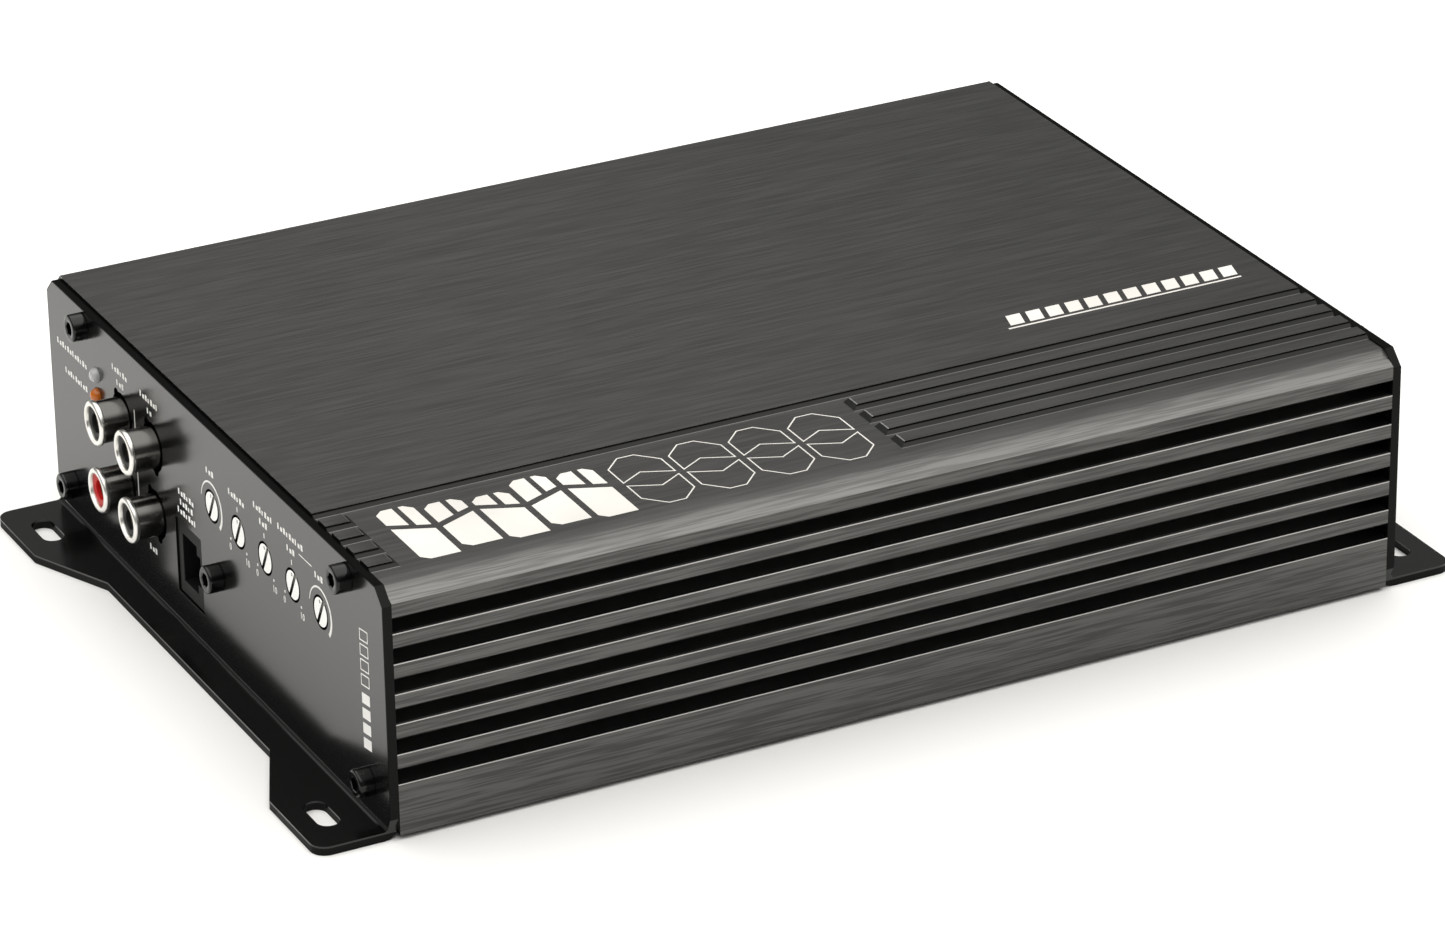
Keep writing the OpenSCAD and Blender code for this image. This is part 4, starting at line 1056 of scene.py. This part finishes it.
def make_camera(scene):
    """A long lens that looks down on the ridged edge from the control panel's end."""
    azimuth, elevation, roll = math.radians(26.86), math.radians(25.48), math.radians(0.83)
    distance, target = 1.2167, Vector((-6.8 * MM, -16.7 * MM, 25 * MM))
    forward = Vector((math.sin(azimuth) * math.cos(elevation),
                      math.cos(azimuth) * math.cos(elevation), -math.sin(elevation)))
    data = bpy.data.cameras.new("camera")
    data.lens, data.sensor_width = 158.79, 36.0
    data.clip_start, data.clip_end = 0.05, 50
    camera = bpy.data.objects.new("camera", data)
    scene.collection.objects.link(camera)
    level = forward.to_track_quat("-Z", "Y").to_matrix().to_4x4()
    camera.matrix_world = (Matrix.Translation(target - forward * distance) @ level
                           @ Matrix.Rotation(-roll, 4, "Z"))
    scene.camera = camera


# ---------------------------------------------------------------- registration


class AMPLIFIER_PT_sidebar(bpy.types.Panel):
    """Lists the amplifier's pieces in the sidebar"""

    bl_label = "Amplifier"
    bl_space_type = "VIEW_3D"
    bl_region_type = "UI"
    bl_category = "Amplifier"

    def draw(self, context):
        for name in ("edge_round", "plate_round", "print_height"):
            self.layout.prop(context.scene.amplifier_sizes, name)
        for name in ("housing", "coat", "print_ink"):
            self.layout.prop(context.scene.amplifier_colours, name)
        for operator in OPERATORS:
            self.layout.operator(operator.bl_idname)


OPERATORS = (AMPLIFIER_OT_frame_finishes, AMPLIFIER_OT_sockets, AMPLIFIER_OT_screws,
             AMPLIFIER_OT_lamps, AMPLIFIER_OT_panel_marks, AMPLIFIER_OT_top_marks,
             AMPLIFIER_OT_stage)
CLASSES = (AmplifierSizes, AmplifierColours, *OPERATORS, AMPLIFIER_PT_sidebar)


def register():
    """Registers the classes and the scene's settings."""
    for cls in CLASSES:
        bpy.utils.register_class(cls)
    bpy.types.Scene.amplifier_sizes = bpy.props.PointerProperty(type=AmplifierSizes)
    bpy.types.Scene.amplifier_colours = bpy.props.PointerProperty(type=AmplifierColours)


def unregister():
    """Removes the scene's settings and the classes."""
    del bpy.types.Scene.amplifier_colours
    del bpy.types.Scene.amplifier_sizes
    for cls in reversed(CLASSES):
        bpy.utils.unregister_class(cls)


def main():
    """Builds every piece in order."""
    register()
    for operator in OPERATORS:
        getattr(bpy.ops.amplifier, operator.bl_idname.split(".")[1])()


if __name__ == "__main__":
    main()
